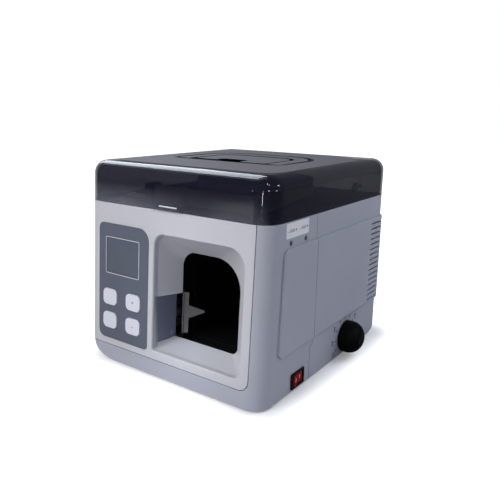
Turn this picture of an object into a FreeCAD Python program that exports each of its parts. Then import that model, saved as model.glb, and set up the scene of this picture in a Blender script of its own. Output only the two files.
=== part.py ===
import FreeCAD, Part
import math
import os

# Banknote strapping machine: a counter-top case with a funnel-shaped work bin, a paper-tape tray
# under a smoked lifting cover, and the strapping head behind the control panel.
# Millimetres. X runs across the machine, +Y to the rear, +Z up. While the pieces are made, x = 0 is
# the middle of the case, y = 0 its lower front edge and z = 0 the counter. Every piece is moved to
# the part's own origin, the middle of the footprint, when it is written. Depths, and heights above
# the lower edge of the case, are measured along the front before it is leaned back.
V = FreeCAD.Vector

# ---------------------------------------------------------------- case
WIDTH = 274.0             # case, side to side, without the raised band
DEPTH = 310.0             # case, lower front edge to rear wall
BODY_HEIGHT = 200.0       # lower edge of the case to the cover joint
COVER_HEIGHT = 49.0       # cover joint to the top
FOOT_PROUD = 2.5          # gap between the case and the counter
FRONT_LEAN = 4.0          # degrees that the front leans back
CORNER_FRONT = 22.0       # upright corner radii
CORNER_REAR = 18.0
LEFT_SWEEP = 48.0         # big round along the lower left edge
REAR_SWEEP = 34.0         # round along the lower rear edge
WALL = 2.8                # moulded case wall
JOINT_GAP = 0.8           # shadow gap between case and cover
SEAM = 0.9                # groove between two case mouldings
LIP = 5.0                 # backing lip behind a seam
LIP_WALL = 1.6
LIP_DROP = 9.0            # top of the lips below the cover joint
SEAM_Y = 111.0            # seam between the front and rear shells
SEAM_JOG = 5.5            # step of that seam near the counter
SEAM_JOG_HEIGHT = 41.0
BAND_PROUD = 2.5          # raised band round the sides and rear
BAND_LOW = 51.0           # its edges, above the lower edge of the case
BAND_HIGH = 171.5
BAND_FRONT = 29.0         # its front edge, back from the front face
BAND_ROUND = 7.0
BAND_EDGE = 1.6           # soft edge of the band
LEDGE_THICK = 2.5         # ledge that carries the tape tray
FIT = 0.3                 # clearance between separate mouldings
TOUCH = 0.02              # air left between faces that are screwed together
RUNNING = 0.05            # radial running clearance
SHARP = 0.2               # smallest corner radius of a moulding
PAST = 1.0                # how far a cut, or a piece that is fused on, runs past a face

# ---------------------------------------------------------------- front panel and work bin
FASCIA_FRAME = 11.9       # width of the front panel right of the bin
FASCIA_LOW = 20.5         # lower edge of the front panel
FASCIA_ROUND = 12.0
FASCIA_WRAP = 34.0        # how far the panel wraps round the left corner
FINGER_X = (-20.0, 20.0)  # finger lip on the cover
FINGER_PROUD = 2.6
FINGER_HEIGHT = 3.2
FINGER_ROUND = 2.4
FINGER_EDGE = 0.9
SCOOP_X = (-22.0, 32.0)   # shallow scoop in the front panel under it
SCOOP_DEPTH = 1.3
SCOOP_RADIUS = 5.0
BIN_X = (-21.0, 107.5)    # mouth of the work bin
BIN_LOW = 31.0
BIN_DROP = 27.5           # cover joint to the top of the mouth
BIN_ROUNDS = (3.0, 9.0, 22.0, 14.0)    # low left, low right, high right, high left
BIN_LIP_DEPTH = 8.0       # straight part of the mouth
BIN_EDGE = 2.2            # rounding of its rim
ARCH_X = (-11.5, 75.0)    # clear opening of the tape arch
ARCH_Z = (38.0, 148.5)
ARCH_ROUNDS = (4.0, 8.0, 36.0, 18.0)
ARCH_DEPTH = 42.0         # front face to the arch
NOTCH_DEPTH = 6.0         # front face to the thumb notch in the funnel's left wall
NOTCH_HIGH = 96.0
NOTCH_ROUND = 1.0
NOTCH_LAP = 8.0           # how far the notch runs into the arch opening
FUNNEL_WALL = 2.4
SENSOR = (35.0, 45.0)     # light sensor in the notch: depth and height
SENSOR_RADIUS = 2.0
SENSOR_HEAD = 1.6         # head behind the wall: extra radius, and length
SENSOR_LENGTH = 4.0
SENSOR_PROUD = 0.5
RING_DEPTH = 24.0         # tape arch, front to back
RING_WALL = 9.0
TRACK_DEPTH = 4.5         # groove in which the tape runs round the arch
TRACK_WIDTH = 20.6
WINDOW_SILL = 3.0         # solid parts below and above the arch's side window
WINDOW_HEAD = 1.0
BIN_BACK = 162.0          # rear wall of the bin liner, behind the front face
LINER_WALL = 2.0
LINER_STEP = 1.0          # liner's inside stands back from the arch

# ---------------------------------------------------------------- control panel
PANEL_SIDE = 23.6         # side of the case to the panel
PANEL_TO_BIN = 7.9        # panel to the mouth of the bin
PANEL_Z = (28.8, 175.8)
PANEL_ROUNDS = (10.0, 5.0, 16.0, 8.0)
PANEL_THICK = 0.7
CONTROL_SHIFT = 1.4       # display and buttons stand this far left of the panel's middle
LCD_WIDTH = 55.0
LCD_Z = (114.3, 157.8)
LCD_ROUND = 1.5
LCD_PROUD = 0.3
LCD_THICK = 2.2           # glass, which steps out to a flange behind
LCD_FLANGE = 1.0
LCD_HOLE = 1.5            # opening in the wall round the glass
LCD_MODULE = 4.0          # width of the display module round its glass
BUTTON_SIZE = (24.2, 20.6)
BUTTON_ROUND = 6.5
BUTTON_PROUD = 1.5
BUTTON_EDGE = 0.9
BUTTON_SKIRT = 1.0        # skirt behind the wall when the button is pressed
BUTTON_TRAVEL = 0.8
BUTTON_PITCH = 40.0       # between the two columns
BUTTON_ROWS = (83.2, 53.0)
BUTTON_FLANGE = 1.8
BUTTON_FLANGE_THICK = 1.4
BUTTON_STEM = 2.5
BUTTON_REST = 1.2         # stem to its key switch at rest
KEYSWITCH = (6.0, 2.0)    # switch under a button: side and height
BOARD_DEPTH = 10.0        # front face to the control board
BOARD_THICK = 1.6
BOARD_MARGIN = (1.0, 4.0) # panel edge to board edge, at the sides and at the top
BOARD_ROUND = 2.0
CHIP_SIZE = (20.0, 12.0, 3.0)
CHIP_HEIGHT = 102.0
PLUG_SIZE = (8.0, 30.0, 7.0)
PLUG_HEIGHT = 135.0
PLUG_SIDE = 9.4           # panel edge to the middle of the plug

# ---------------------------------------------------------------- cover, handle and hinge
COVER_WALL = 2.6
TOP_ROUND = 16.0
PANEL_TOP_SIDE = 17.5     # side of the case to the matt top panel
PANEL_TOP_FRONT = 43.0
PANEL_TOP_REAR = 17.0
PANEL_TOP_ROUNDS = (22.0, 22.0, 70.0, 70.0)
PANEL_TOP_THICK = 1.0
PANEL_TOP_GAP = 0.15
HINGE_RADIUS = 7.5        # round of the cover's rear lower edge about the hinge pin
PIN_RADIUS = 2.0
HINGE_SIDE = 39.0         # side of the case to the middle of each hinge
EAR_RADIUS = 5.2          # ears of the cover on the pin
EAR_WIDTH = 6.0
EAR_GAP = 0.4
EAR_ROOT = (3.0, 14.0)    # root of the ear on the cover's rear wall, below and above the pin
BRACKET_RADIUS = 4.2      # brackets of the tray under the pin
BRACKET_DEPTH = 8.0
BRACKET_GAP = 0.8
WELL_X = (-86.0, 78.0)    # well of the carrying handle
WELL_Y = (119.0, 233.0)
WELL_ROUNDS = (12.0, 12.0, 50.0, 50.0)
WELL_DEPTH = 9.0
WELL_WALL = 2.0
HANDLE_GAP = 2.2
HANDLE_WIDTH = 19.0
HANDLE_THICK = 6.5
HANDLE_EDGE = 1.2
HANDLE_REACH = 10.0       # front of the well to the handle's pins
HANDLE_ARM = 29.0         # from the pins to the bow
HANDLE_NOSE = 1.0         # end of each arm in front of its pin's boss
HANDLE_PIN = 1.6
HANDLE_PIN_LENGTH = 8.0   # in the handle
HANDLE_PIN_END = 1.0      # in the well's wall

# ---------------------------------------------------------------- tape tray
TRAY_DROP = 3.0           # tray floor below the cover joint
TRAY_THICK = 3.0
RIM_HEIGHT = 3.5          # tray rim above the cover joint
RIM_WALL = 2.0
RIM_REAR = 14.0           # gap between the rim and the hinge
ROLL_CENTRE = (0.0, 186.0)
ROLL_RADIUS = 78.0
CORE_RADIUS = 20.0
CORE_WALL = 2.0
CORE_FIT = 0.2
TAPE_WIDTH = 20.0
TAPE_THICK = 0.3
TAPE_LOW = 6.5            # tape's lower edge above the tray floor
TABLE_RADIUS = 84.0
TABLE_THICK = 2.0
TABLE_HOLES = 6
TABLE_HOLE_RADIUS = 11.0
TABLE_HOLE_RING = 50.0
HUB_HEIGHT = 14.0
SPINDLE_RADIUS = 5.0
SPINDLE_HEIGHT = 16.0     # above the tape's lower edge
SHOULDER = 5.0            # width of the shoulder that carries the reel table
POST_Y = 46.0
POST_X = (-4.0, 98.0)
POST_RADIUS = 2.5
POST_FLANGE = 2.0         # flanges under and over the sleeve: width, thickness and gap to the tape
POST_FLANGE_THICK = 2.0
POST_FLANGE_GAP = 1.5
SLEEVE_RADIUS = 5.0
INLET_SIDE = 85.0         # side of the case to where the tape goes down to the head
INLET_BLOCK = (6.0, 6.0, 14.0)    # inlet block: half width, in front of and behind the tape
INLET_ROUND = 3.0
INLET_SLIT = 0.6
INLET_THROAT = (2.0, 11.0)
TRAY_SLOT = (3.0, 16.0, 12.0)     # slot in the tray under it: half width, front and rear
KEY_SIDE = 55.0           # side of the case to the feed and return key
KEY_SIZE = (26.0, 12.0)
KEY_HEIGHT = 9.0
KEY_TILT = 7.0            # degrees that the key rocks either way
KEY_GAP = 1.0
KEY_RIM = 2.5
KEY_FLOOR = 1.5
KEY_CROWN = 1.4           # middle of the key above its housing
KEY_EDGE = 1.5
KEY_ROUND = 0.9
KEY_KEEL = (4.0, 6.0)     # half width and depth of the key below its top
KEY_PIVOT_DROP = 4.0      # key's pivot below the top of its housing
TRUNNION_RADIUS = 1.2     # pivots moulded on the key and on the power rocker

# ---------------------------------------------------------------- right side
SWITCH_Y = 77.0
SWITCH_Z = 12.0
SWITCH_BEZEL = (28.4, 19.4)
SWITCH_BEZEL_THICK = 1.6
SWITCH_ROUND = 1.5
SWITCH_CUT = (25.4, 16.4)
SWITCH_DEPTH = 15.0       # housing behind the wall's outer face
SWITCH_ROOM = (11.0, 11.7)        # depth and half length of the rocker's room
SWITCH_TILT = 8.0
ROCKER_PIVOT = -3.0       # rocker's pivot, measured out from the case wall
ROCKER_HALF = 6.5         # half height, half length and half width of the keel
ROCKER_LENGTH = 10.4
ROCKER_KEEL = 4.0
ROCKER_DEPTH = 5.0
ROCKER_ENDS = (1.0, 5.2)  # ends and middle of its face, out from the pivot
ROCKER_MIDDLE = 3.4
ROCKER_ROUND = 0.9
ROCKER_GAP = 0.4
ROCKER_PIN = 1.2          # length of each of its pivots
KNOB_Y = 200.0
KNOB_Z = 23.5
KNOB_RADIUS = 21.0
KNOB_LENGTH = 24.0
KNOB_SKIRT = 7.0          # straight part of the knob
KNOB_FACE = 9.0           # radius of the flat at the end of its dome
KNOB_WALL = 3.0
KNOB_BOSS = 7.0
KNOB_GAP = 1.0
SHAFT_RADIUS = 3.0
SHAFT_HOLE = 1.5          # extra radius of the hole in the case
SHAFT_INSIDE = 13.0
SHAFT_GRIP = 8.0          # end of the shaft to the end of the knob
POT_RADIUS = 10.0
POT_DEPTH = 15.0
POT_BUSH = 1.2
POT_BUSH_LENGTH = 4.0
TRIMMER_Y = (54.2, 85.6)
TRIMMER_DROP = 23.4       # trimmer holes below the cover joint
TRIMMER_HOLE = 3.1
TRIMMER_RADIUS = 2.6
TRIMMER_LENGTH = 10.0
TRIMMER_INSIDE = 13.8     # inner end of the rotor, in from the wall's outer face
TRIMMER_SLOT = (0.8, 1.2) # screwdriver slot: width and depth
TRIMMER_CAN = (10.0, 9.0) # trimmer body: side and depth
TRIMMER_BOARD = (52.0, 18.0, 18.0)    # board: length, height and depth from the wall's outer face
TRIMMER_POST = 2.5
VENT_COUNT = 16
VENT_PITCH = 7.2
VENT_SLOT = 2.4
VENT_LOW = 54.5
VENT_FRONT = 48.0         # front end of the vents, in front of the rear wall
VENT_SIDE = 45.0          # left end of the vents, in from the side

# ---------------------------------------------------------------- strapping head and drive
HEAD_Y = (44.0, 64.0)     # the tape's path, behind the front face
PLATE_Y = 72.0
PLATE_THICK = 2.0
PLATE_SIDE = 24.0         # left side of the case to the plate
PLATE_RIGHT = -26.0
PLATE_LOW = 14.0
PLATE_DROP = 14.0         # cover joint to the top of the plate
PLATE_ROUNDS = (16.0, 3.0, 6.0, 6.0)
PLATE_FOOT_X = (-80.0, -34.0)
PLATE_FOOT_DEPTH = (0.5, 18.0)
GEAR_MODULE = 1.0
GEAR_WIDTH = 4.0
GEAR_Y = 66.4
GEAR_ADDENDUM = 0.9       # in modules
GEAR_DEDENDUM = 1.2
TOOTH_SHARES = (0.36, 0.225, 0.11)    # half tooth at the root, pitch circle and tip, as shares of the pitch
BACKLASH = 0.35
PINION_TEETH = 12
FEED_TEETH = 30
CAM_TEETH = 36
AXLE_RADIUS = 3.0         # feed and cam shafts
AXLE_ENDS = (2.0, 4.0)    # their ends, in front of the rollers and behind the plate
PINION_AXLE = 1.5
PINION_TAIL = 7.0
PINION_HOLE = 2.6
FEED_X = -66.0
FEED_DROP = 50.0          # cover joint to the feed shaft
CAM_SHAFT = (-90.0, 66.0)
ROLLER_RADIUS = 6.0
NIP = 0.6                 # gap between the feed and pinch rollers
PINCH_X = -40.0
PINCH_DROP = 30.0         # cover joint to the pivot of the pinch arm
PINCH_PIN = 2.5           # radii of the arm's pivot, of its hub and of the roller's pin
PINCH_HUB = 5.0
PINCH_HUB_END = 6.0       # hub's rear end, in front of the rear of the tape's path
PINCH_FRONT = 4.0         # arm in front of the tape's path
PINCH_AXLE = 2.0
PINCH_LINK = 3.0          # thickness of the arm
PINCH_MARGIN = (5.0, 6.0) # arm round its pins
PINCH_ROUND = 4.5
MOTOR_RADIUS = 17.0
MOTOR_LENGTH = 44.0
MOTOR_CHAMFER = 1.5
MOTOR_BOSS = (5.0, 3.0)
MOTOR_BORE = 9.0
CAM_COUNT = 3
CAM_RADIUS = 11.0
CAM_THROW = 3.0
CAM_STEP = 20.0           # degrees between neighbouring cams
SLIDER_THICK = 5.0
SLIDER_PITCH = 7.0
SLIDER_START = 0.5        # first slider behind the front of the tape's path
SLIDER_BAND = (61.0, 71.0)    # height range of the slider bars
SLIDER_WEB = (9.0, 5.0)   # web behind the working end: its two sides, back from the tip
JAW_BAND = (48.0, 57.0)
JAW_RIBS = 3
JAW_RIB_PITCH = 2.5
JAW_RIB = 1.0
JAW_MARGIN = 1.5
HEATER_LENGTH = 4.0
HEATER_LINK = (6.0, 3.0)
HEATER_BORE = (1.5, 2.0, 14.0)    # radius, back from the tip, and length
BLADE_BAND = (76.0, 77.2)
BLADE_SKEW = 2.0          # slant of the cutting edge
FOLLOWER_GAP = 2.0        # cam to slider at rest
GUIDE_X = (-68.0, -48.0)
GUIDE_MARGIN = (3.0, 1.5)
TONGUE_PIVOT = (-16.5, 49.5)
TONGUE_CLEAR = 2.5        # tongue's post to the sliders at full stroke
TONGUE_SPREAD = 36.0      # degrees that the anvil tongue stands off the sideways direction
TONGUE_LENGTH = 27.0
TONGUE_THICK = 1.2
TONGUE_STRIP = 7.0        # upright strip behind the tongue
TONGUE_ROOT = (7.0, 10.0) # tongue's root below and above the middle of its strip
TONGUE_TIP = (1.0, 3.5)
TONGUE_EDGE = 0.4
TONGUE_POST = 1.5         # radius of the anvil's post
TONGUE_POST_END = 3.0
TONGUE_GAP = (3.5, 1.5)   # strip to the lower and upper ends of the arch's window

# ---------------------------------------------------------------- base and electrics
BASE_THICK = 1.5
BASE_RIM_LEFT = 53.0      # rim of the case floor round its opening
BASE_RIM_RIGHT = 19.0
BASE_RIM_FRONT = 16.0
BASE_RIM_REAR = 44.0
BASE_ROUND = 6.0
BASE_LAP = (3.5, 9.0)     # base plate beyond the opening, at the sides and at the ends
FOOT_RADIUS = 9.0
FOOT_TAPER = 1.0
FOOT_HOLLOW = (3.0, 2.0)  # radius and depth of the hollow under each foot
FOOT_INSET = 17.0
SCREW_RADIUS = 1.6
SCREW_HEAD = 3.2
SCREW_HEAD_HEIGHT = 1.6
SCREW_LENGTH = 9.0
SCREW_CROSS = (4.0, 0.8, 1.0)     # cross recess: length, width and depth
SCREW_INSET = (24.0, 22.0)        # screws from the left and right ends of the opening
INLET_PANEL = (48.0, 26.0)
INLET_CENTRE = (62.0, 70.0)
INLET_PROUD = 1.5
INLET_BODY = (29.4, 20.4, 24.0)   # width, height and depth behind the wall
INLET_ROOM = (24.0, 15.6, 17.0)
INLET_SHOULDER = (7.5, 3.5)       # chamfered upper corners of the socket
INLET_POINT = 8.0         # pointed ends of the flange
INLET_ROUNDS = (2.0, 1.0) # corners of the flange and of the socket
INLET_HOLES = (1.6, 4.5)  # radius, and in from the flange's ends
INLET_PIN = (2.0, 4.0, 7.0, 6.0)  # width, height, pitch, and depth of the tips below the face
INLET_PIN_RISE = 2.0
TRANSFORMER = (70.0, 58.0, 52.0)
TRANSFORMER_SPOT = (-24.0, 215.0)
TRANSFORMER_CORE = (46.6, 29.0)
TRANSFORMER_COIL = 35.0
TRANSFORMER_FOOT = 2.0
COIL_INSET = 9.0
COIL_ROUND = 5.0
BOARD_SIZE = (110.0, 74.0)
BOARD_SPOT = (-28.0, 148.0)
BOARD_LIFT = 5.0
BOARD_POST = (3.0, 5.0)   # radius, and in from the edges
CAPACITORS = 3
CAPACITOR = (4.0, 13.0, 11.0)     # radius, height and pitch
CAPACITOR_SPOT = (-40.0, 20.0)
HEAT_SINK = (28.0, 4.0, 14.0)
HEAT_SINK_SPOT = (34.0, -26.0)
MAIN_CHIP = (22.0, 16.0, 4.0)

# ---------------------------------------------------------------- what follows from these
LEAN = math.radians(FRONT_LEAN)
SLOPE = math.tan(LEAN)
FRONT_NORMAL = V(0, -math.cos(LEAN), math.sin(LEAN))
BASE_Z = FOOT_PROUD
JOINT_Z = BASE_Z + BODY_HEIGHT
COVER_Z = JOINT_Z + JOINT_GAP
TOP_Z = JOINT_Z + COVER_HEIGHT
TRAY_Z = JOINT_Z - TRAY_DROP
TAPE_Z = TRAY_Z + TAPE_LOW
TAPE_TOP = TAPE_Z + TAPE_WIDTH
HALF = WIDTH / 2
FAR = WIDTH + DEPTH       # beyond the machine on every side
BIN_Z = (BIN_LOW, BODY_HEIGHT - BIN_DROP)
PANEL_X = (-HALF + PANEL_SIDE, BIN_X[0] - PANEL_TO_BIN)
CONTROLS_X = (PANEL_X[0] + PANEL_X[1]) / 2 - CONTROL_SHIFT
LCD_X = (CONTROLS_X - LCD_WIDTH / 2, CONTROLS_X + LCD_WIDTH / 2)
BUTTON_COLUMNS = (CONTROLS_X - BUTTON_PITCH / 2, CONTROLS_X + BUTTON_PITCH / 2)
FASCIA_RIGHT = BIN_X[1] + FASCIA_FRAME
PANEL_TOP_X = (-HALF + PANEL_TOP_SIDE, HALF - PANEL_TOP_SIDE)
PANEL_TOP_Y = (PANEL_TOP_FRONT, DEPTH - PANEL_TOP_REAR)
HINGE_X = HALF - HINGE_SIDE
HINGE_Y = DEPTH - HINGE_RADIUS
HINGE_Z = COVER_Z + HINGE_RADIUS
HANDLE_PIVOT = (WELL_Y[0] + HANDLE_REACH, TOP_Z - HANDLE_THICK / 2)
KEY_CENTRE = (-HALF + KEY_SIDE, POST_Y)
INLET_X = -HALF + INLET_SIDE
KEY_TOP = TRAY_Z + KEY_HEIGHT
TRIMMER_Z = BODY_HEIGHT - TRIMMER_DROP
SLIDER_STROKE = 2 * CAM_THROW
SLIDER_TIP_X = TONGUE_PIVOT[0] - TONGUE_CLEAR - SLIDER_STROKE
SLIDER_TAIL_X = CAM_SHAFT[0] + CAM_RADIUS - CAM_THROW + FOLLOWER_GAP
PLATE_X = (-HALF + PLATE_SIDE, PLATE_RIGHT)
PLATE_Z = (PLATE_LOW, BODY_HEIGHT - PLATE_DROP)
FEED_SHAFT = (FEED_X, BODY_HEIGHT - FEED_DROP)
PINCH_PIVOT = (PINCH_X, BODY_HEIGHT - PINCH_DROP)
PINCH_SHAFT = (FEED_SHAFT[0] + 2 * ROLLER_RADIUS + NIP, FEED_SHAFT[1])
FEED_DRIVE = (FEED_SHAFT[0], FEED_SHAFT[1] - (FEED_TEETH + PINION_TEETH) * GEAR_MODULE / 2 - BACKLASH)
CAM_DRIVE = (CAM_SHAFT[0], CAM_SHAFT[1] - (CAM_TEETH + PINION_TEETH) * GEAR_MODULE / 2 - BACKLASH)
PLATE_FAR = PLATE_Y + PLATE_THICK
AXLE_Y = (HEAD_Y[0] - AXLE_ENDS[0], PLATE_FAR + AXLE_ENDS[1])
JAW_Y = (HEAD_Y[0] + SLIDER_START, HEAD_Y[1] - SLIDER_START)
PINCH_Y = HEAD_Y[0] - PINCH_FRONT
BASE_LOW = BASE_Z + WALL + TOUCH
BASE_TOP = BASE_LOW + BASE_THICK + TOUCH
BASE_OPENING_X = (-HALF + BASE_RIM_LEFT, HALF - BASE_RIM_RIGHT)
BASE_OPENING_Y = (BASE_RIM_FRONT, DEPTH - BASE_RIM_REAR)
PLATE_FOOT_LOW = (BASE_TOP - BASE_Z + FIT + PLATE_FAR * math.sin(LEAN)) / math.cos(LEAN)
FOOT_SPOTS = [(x, y) for x in (BASE_OPENING_X[0] + FOOT_INSET, BASE_OPENING_X[1] - FOOT_INSET)
              for y in (BASE_OPENING_Y[0] + FOOT_INSET, BASE_OPENING_Y[1] - FOOT_INSET)]
BASE_SCREWS = [(x, y) for x in (BASE_OPENING_X[0] + SCREW_INSET[0], BASE_OPENING_X[1] - SCREW_INSET[1])
               for y in (BASE_OPENING_Y[0] - BASE_LAP[1] / 2, BASE_OPENING_Y[1] + BASE_LAP[1] / 2)]
REAR_FACE = DEPTH + BAND_PROUD
ORIGIN = V((BAND_PROUD - KNOB_GAP - KNOB_LENGTH) / 2, -(REAR_FACE + INLET_PROUD) / 2, 0)


# ---------------------------------------------------------------- tools
def box(x, y, z):
    return Part.makeBox(x[1] - x[0], y[1] - y[0], z[1] - z[0], V(x[0], y[0], z[0]))


def rod(radius, start, axis, length):
    return Part.makeCylinder(radius, length, V(*start), V(*axis))


def outline(corners, place):
    """Closed wire of straight sides with rounded corners; corners are (u, v, radius)."""
    edges = []
    ends = []
    count = len(corners)
    for i, (u, v, r) in enumerate(corners):
        here = V(u, v, 0)
        before = V(corners[i - 1][0], corners[i - 1][1], 0) - here
        after = V(corners[(i + 1) % count][0], corners[(i + 1) % count][1], 0) - here
        before.normalize()
        after.normalize()
        if r <= 0:
            ends.append((here, here, None))
            continue
        half = before.getAngle(after) / 2
        reach = r / math.tan(half)
        middle = before + after
        middle.normalize()
        centre = here + middle * (r / math.sin(half))
        ends.append((here + before * reach, here + after * reach, centre - middle * r))
    for i, (start, end, mid) in enumerate(ends):
        if mid is not None:
            edges.append(Part.Arc(place(start), place(mid), place(end)).toShape())
        following = ends[(i + 1) % count][0]
        if end.distanceToPoint(following) > 1e-6:
            edges.append(Part.LineSegment(place(end), place(following)).toShape())
    return Part.Wire(edges)


def prism_z(corners, low, high, shear=0.0):
    """Outline in X and Y, pulled up from low to high; shear moves the top back."""
    wire = outline(corners, lambda p: V(p.x, p.y, low))
    return Part.Face(wire).extrude(V(0, shear * (high - low), high - low))


def prism_y(corners, near, far):
    """Outline in X and Z, pulled to the rear."""
    wire = outline(corners, lambda p: V(p.x, near, p.y))
    return Part.Face(wire).extrude(V(0, far - near, 0))


def prism_x(corners, left, right):
    """Outline in Y and Z, pulled to the right."""
    wire = outline(corners, lambda p: V(left, p.x, p.y))
    return Part.Face(wire).extrude(V(right - left, 0, 0))


def rect(u, v, rounds, grow=0.0):
    """Corners of a rectangle, grown by an offset; rounds go round from low left."""
    if not isinstance(rounds, (tuple, list)):
        rounds = (rounds,) * 4
    spots = ((u[0] - grow, v[0] - grow), (u[1] + grow, v[0] - grow),
             (u[1] + grow, v[1] + grow), (u[0] - grow, v[1] + grow))
    return [(a, b, max(r + grow, SHARP)) for (a, b), r in zip(spots, rounds)]


def leaned(shape):
    """Turn a piece that was drawn upright on the front so that it leans with the front."""
    copy = shape.copy()
    copy.rotate(V(0, 0, BASE_Z), V(1, 0, 0), -FRONT_LEAN)
    return copy


def up(z):
    """Heights above the lower edge of the case, as heights above the counter."""
    return (BASE_Z + z[0], BASE_Z + z[1])


def union(shapes):
    result = shapes[0]
    for shape in shapes[1:]:
        result = result.fuse(shape)
    return result.removeSplitter()


def save(name, shape):
    piece = shape.copy()
    piece.translate(ORIGIN)
    if not piece.isValid():
        raise ValueError(name + " is not a valid shape")
    piece.exportStep("parts/" + name + ".step")
    print(name, len(piece.Solids), round(piece.Volume / 1000, 2), "cm3")


# ---------------------------------------------------------------- case forms
def form(inset, low, high):
    """The case's outer form between two heights, drawn in by an inset: the front leans, the upright
    corners are round, and the lower left and rear edges sweep up."""
    half = HALF - inset
    rear = DEPTH - inset
    front = (low - BASE_Z) * SLOPE + inset / math.cos(LEAN)
    leaning = prism_z([(-half, front, CORNER_FRONT - inset), (half, front, CORNER_FRONT - inset),
                       (half, FAR, 0), (-half, FAR, 0)], low, high, SLOPE)
    upright = prism_z([(-half, -FAR, 0), (half, -FAR, 0), (half, rear, CORNER_REAR - inset),
                       (-half, rear, CORNER_REAR - inset)], low, high)
    result = leaning.common(upright)
    floor = BASE_Z + inset
    if low < BASE_Z + max(LEFT_SWEEP, REAR_SWEEP):
        side = prism_y([(-half, floor, LEFT_SWEEP - inset), (half, floor, 0),
                        (half, FAR, 0), (-half, FAR, 0)], -FAR, FAR)
        back = prism_x([(-FAR, floor, 0), (rear, floor, REAR_SWEEP - inset),
                        (rear, FAR, 0), (-FAR, FAR, 0)], -FAR, FAR)
        result = result.common(side).common(back)
    return result.removeSplitter()


def raised_band():
    """Band that stands out round the sides and the rear; its front edge leans with the front, and
    its outer edges are soft."""
    low, high = up((BAND_LOW, BAND_HIGH))
    zone = prism_x([(BAND_FRONT + SLOPE * low, low, BAND_ROUND), (FAR, low, 0), (FAR, high, 0),
                    (BAND_FRONT + SLOPE * high, high, BAND_ROUND)], -FAR, FAR)
    band = form(-BAND_PROUD, low - BAND_ROUND, high + BAND_ROUND).common(zone)
    body = form(TOUCH - BAND_PROUD, low - BAND_ROUND, high + BAND_ROUND)
    edges = []
    for edge in band.Edges:
        middle = edge.valueAt((edge.FirstParameter + edge.LastParameter) / 2)
        upright = edge.BoundBox.XLength + edge.BoundBox.YLength < TOUCH
        if not upright and not body.isInside(middle, TOUCH / 2, False):
            edges.append(edge)
    return band.makeFillet(BAND_EDGE, edges)


def case_wall():
    """The whole moulded wall of the case, before it is split into shells."""
    skin = form(0, BASE_Z, JOINT_Z).fuse(raised_band()).removeSplitter()
    hollow = form(WALL, BASE_Z + WALL, JOINT_Z + PAST)
    opening = prism_z(rect(BASE_OPENING_X, BASE_OPENING_Y, BASE_ROUND), 0, BASE_Z + WALL + PAST)
    ledge_top = TRAY_Z - TRAY_THICK - TOUCH
    ledge_low = ledge_top - LEDGE_THICK
    ledge = form(WALL - TOUCH, ledge_low, ledge_top).cut(form(WALL + LIP, ledge_low - PAST, JOINT_Z))
    wall = skin.cut(hollow).cut(opening).fuse(ledge)
    for x, y in BASE_SCREWS:
        wall = wall.cut(rod(SCREW_RADIUS + RUNNING, (x, y, 0), (0, 0, 1), BASE_TOP))
        wall = wall.cut(rod(SCREW_HEAD + RUNNING, (x, y, 0), (0, 0, 1), BASE_Z + SCREW_HEAD_HEIGHT))
    return wall.removeSplitter()


def fascia_zone(grow, deep):
    """Region of the front panel, drawn upright: open to the left and to the top."""
    corners = [(-FAR, BASE_Z + FASCIA_LOW - grow, 0),
               (FASCIA_RIGHT + grow, BASE_Z + FASCIA_LOW - grow, FASCIA_ROUND + grow),
               (FASCIA_RIGHT + grow, FAR, 0), (-FAR, FAR, 0)]
    return leaned(prism_y(corners, -FASCIA_WRAP, deep))


def rear_zone(shift):
    """Everything behind the stepped seam between the shells."""
    step = BASE_Z + SEAM_JOG_HEIGHT - shift
    seam = SEAM_Y + shift
    corners = [(seam - SEAM_JOG, -PAST, 0), (FAR, -PAST, 0), (FAR, FAR, 0), (seam, FAR, 0),
               (seam, step, 0), (seam - SEAM_JOG, step, 0)]
    return prism_x(corners, -FAR, FAR)


def lip(zone, own, low):
    """Backing lip inside the wall: rooted in its own shell, and just clear of the neighbouring one."""
    high = JOINT_Z - LIP_DROP
    core = form(WALL + LIP_WALL, low - PAST, JOINT_Z)
    strip = form(WALL + TOUCH, low, high).cut(core)
    root = form(WALL - TOUCH, low, high).cut(core).common(own)
    return strip.fuse(root).common(zone)


# ---------------------------------------------------------------- case pieces
def side_box(depth, y, half_y, z, half_z):
    """Box at the right side; depth is measured out from the case wall."""
    return box((HALF + depth[0], HALF + depth[1]), (y - half_y, y + half_y), (z - half_z, z + half_z))


def side_rod(radius, depth, y, z):
    """Rod across the right side; depth is measured out from the case wall."""
    return rod(radius, (HALF + depth[0], y, z), (1, 0, 0), depth[1] - depth[0])


def front_shell(wall):
    """Front moulding: the rim round the front panel, the floor's front and the side up to the seam."""
    shell = wall.cut(rear_zone(-SEAM)).cut(fascia_zone(SEAM, FASCIA_WRAP + SEAM))
    reach = fascia_zone(SEAM + LIP, FASCIA_WRAP + SEAM + LIP).cut(fascia_zone(-LIP, FASCIA_WRAP - LIP))
    own = form(0, BASE_Z, JOINT_Z).cut(fascia_zone(SEAM, FASCIA_WRAP + SEAM))
    reach = reach.cut(box((FASCIA_RIGHT - FASCIA_ROUND, FAR), (FASCIA_WRAP, FAR), (0, FAR)))
    backing = lip(reach, own, BASE_Z + WALL + PAST).cut(rear_zone(-SEAM - LIP))
    across = (-WALL - PAST, PAST)
    switch = side_box(across, SWITCH_Y, SWITCH_CUT[0] / 2, BASE_Z + SWITCH_Z, SWITCH_CUT[1] / 2)
    shell = shell.fuse(backing).cut(switch)
    for y in TRIMMER_Y:
        shell = shell.cut(side_rod(TRIMMER_HOLE, (across[0], BAND_PROUD + PAST), y, BASE_Z + TRIMMER_Z))
    return shell.removeSplitter()


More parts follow.
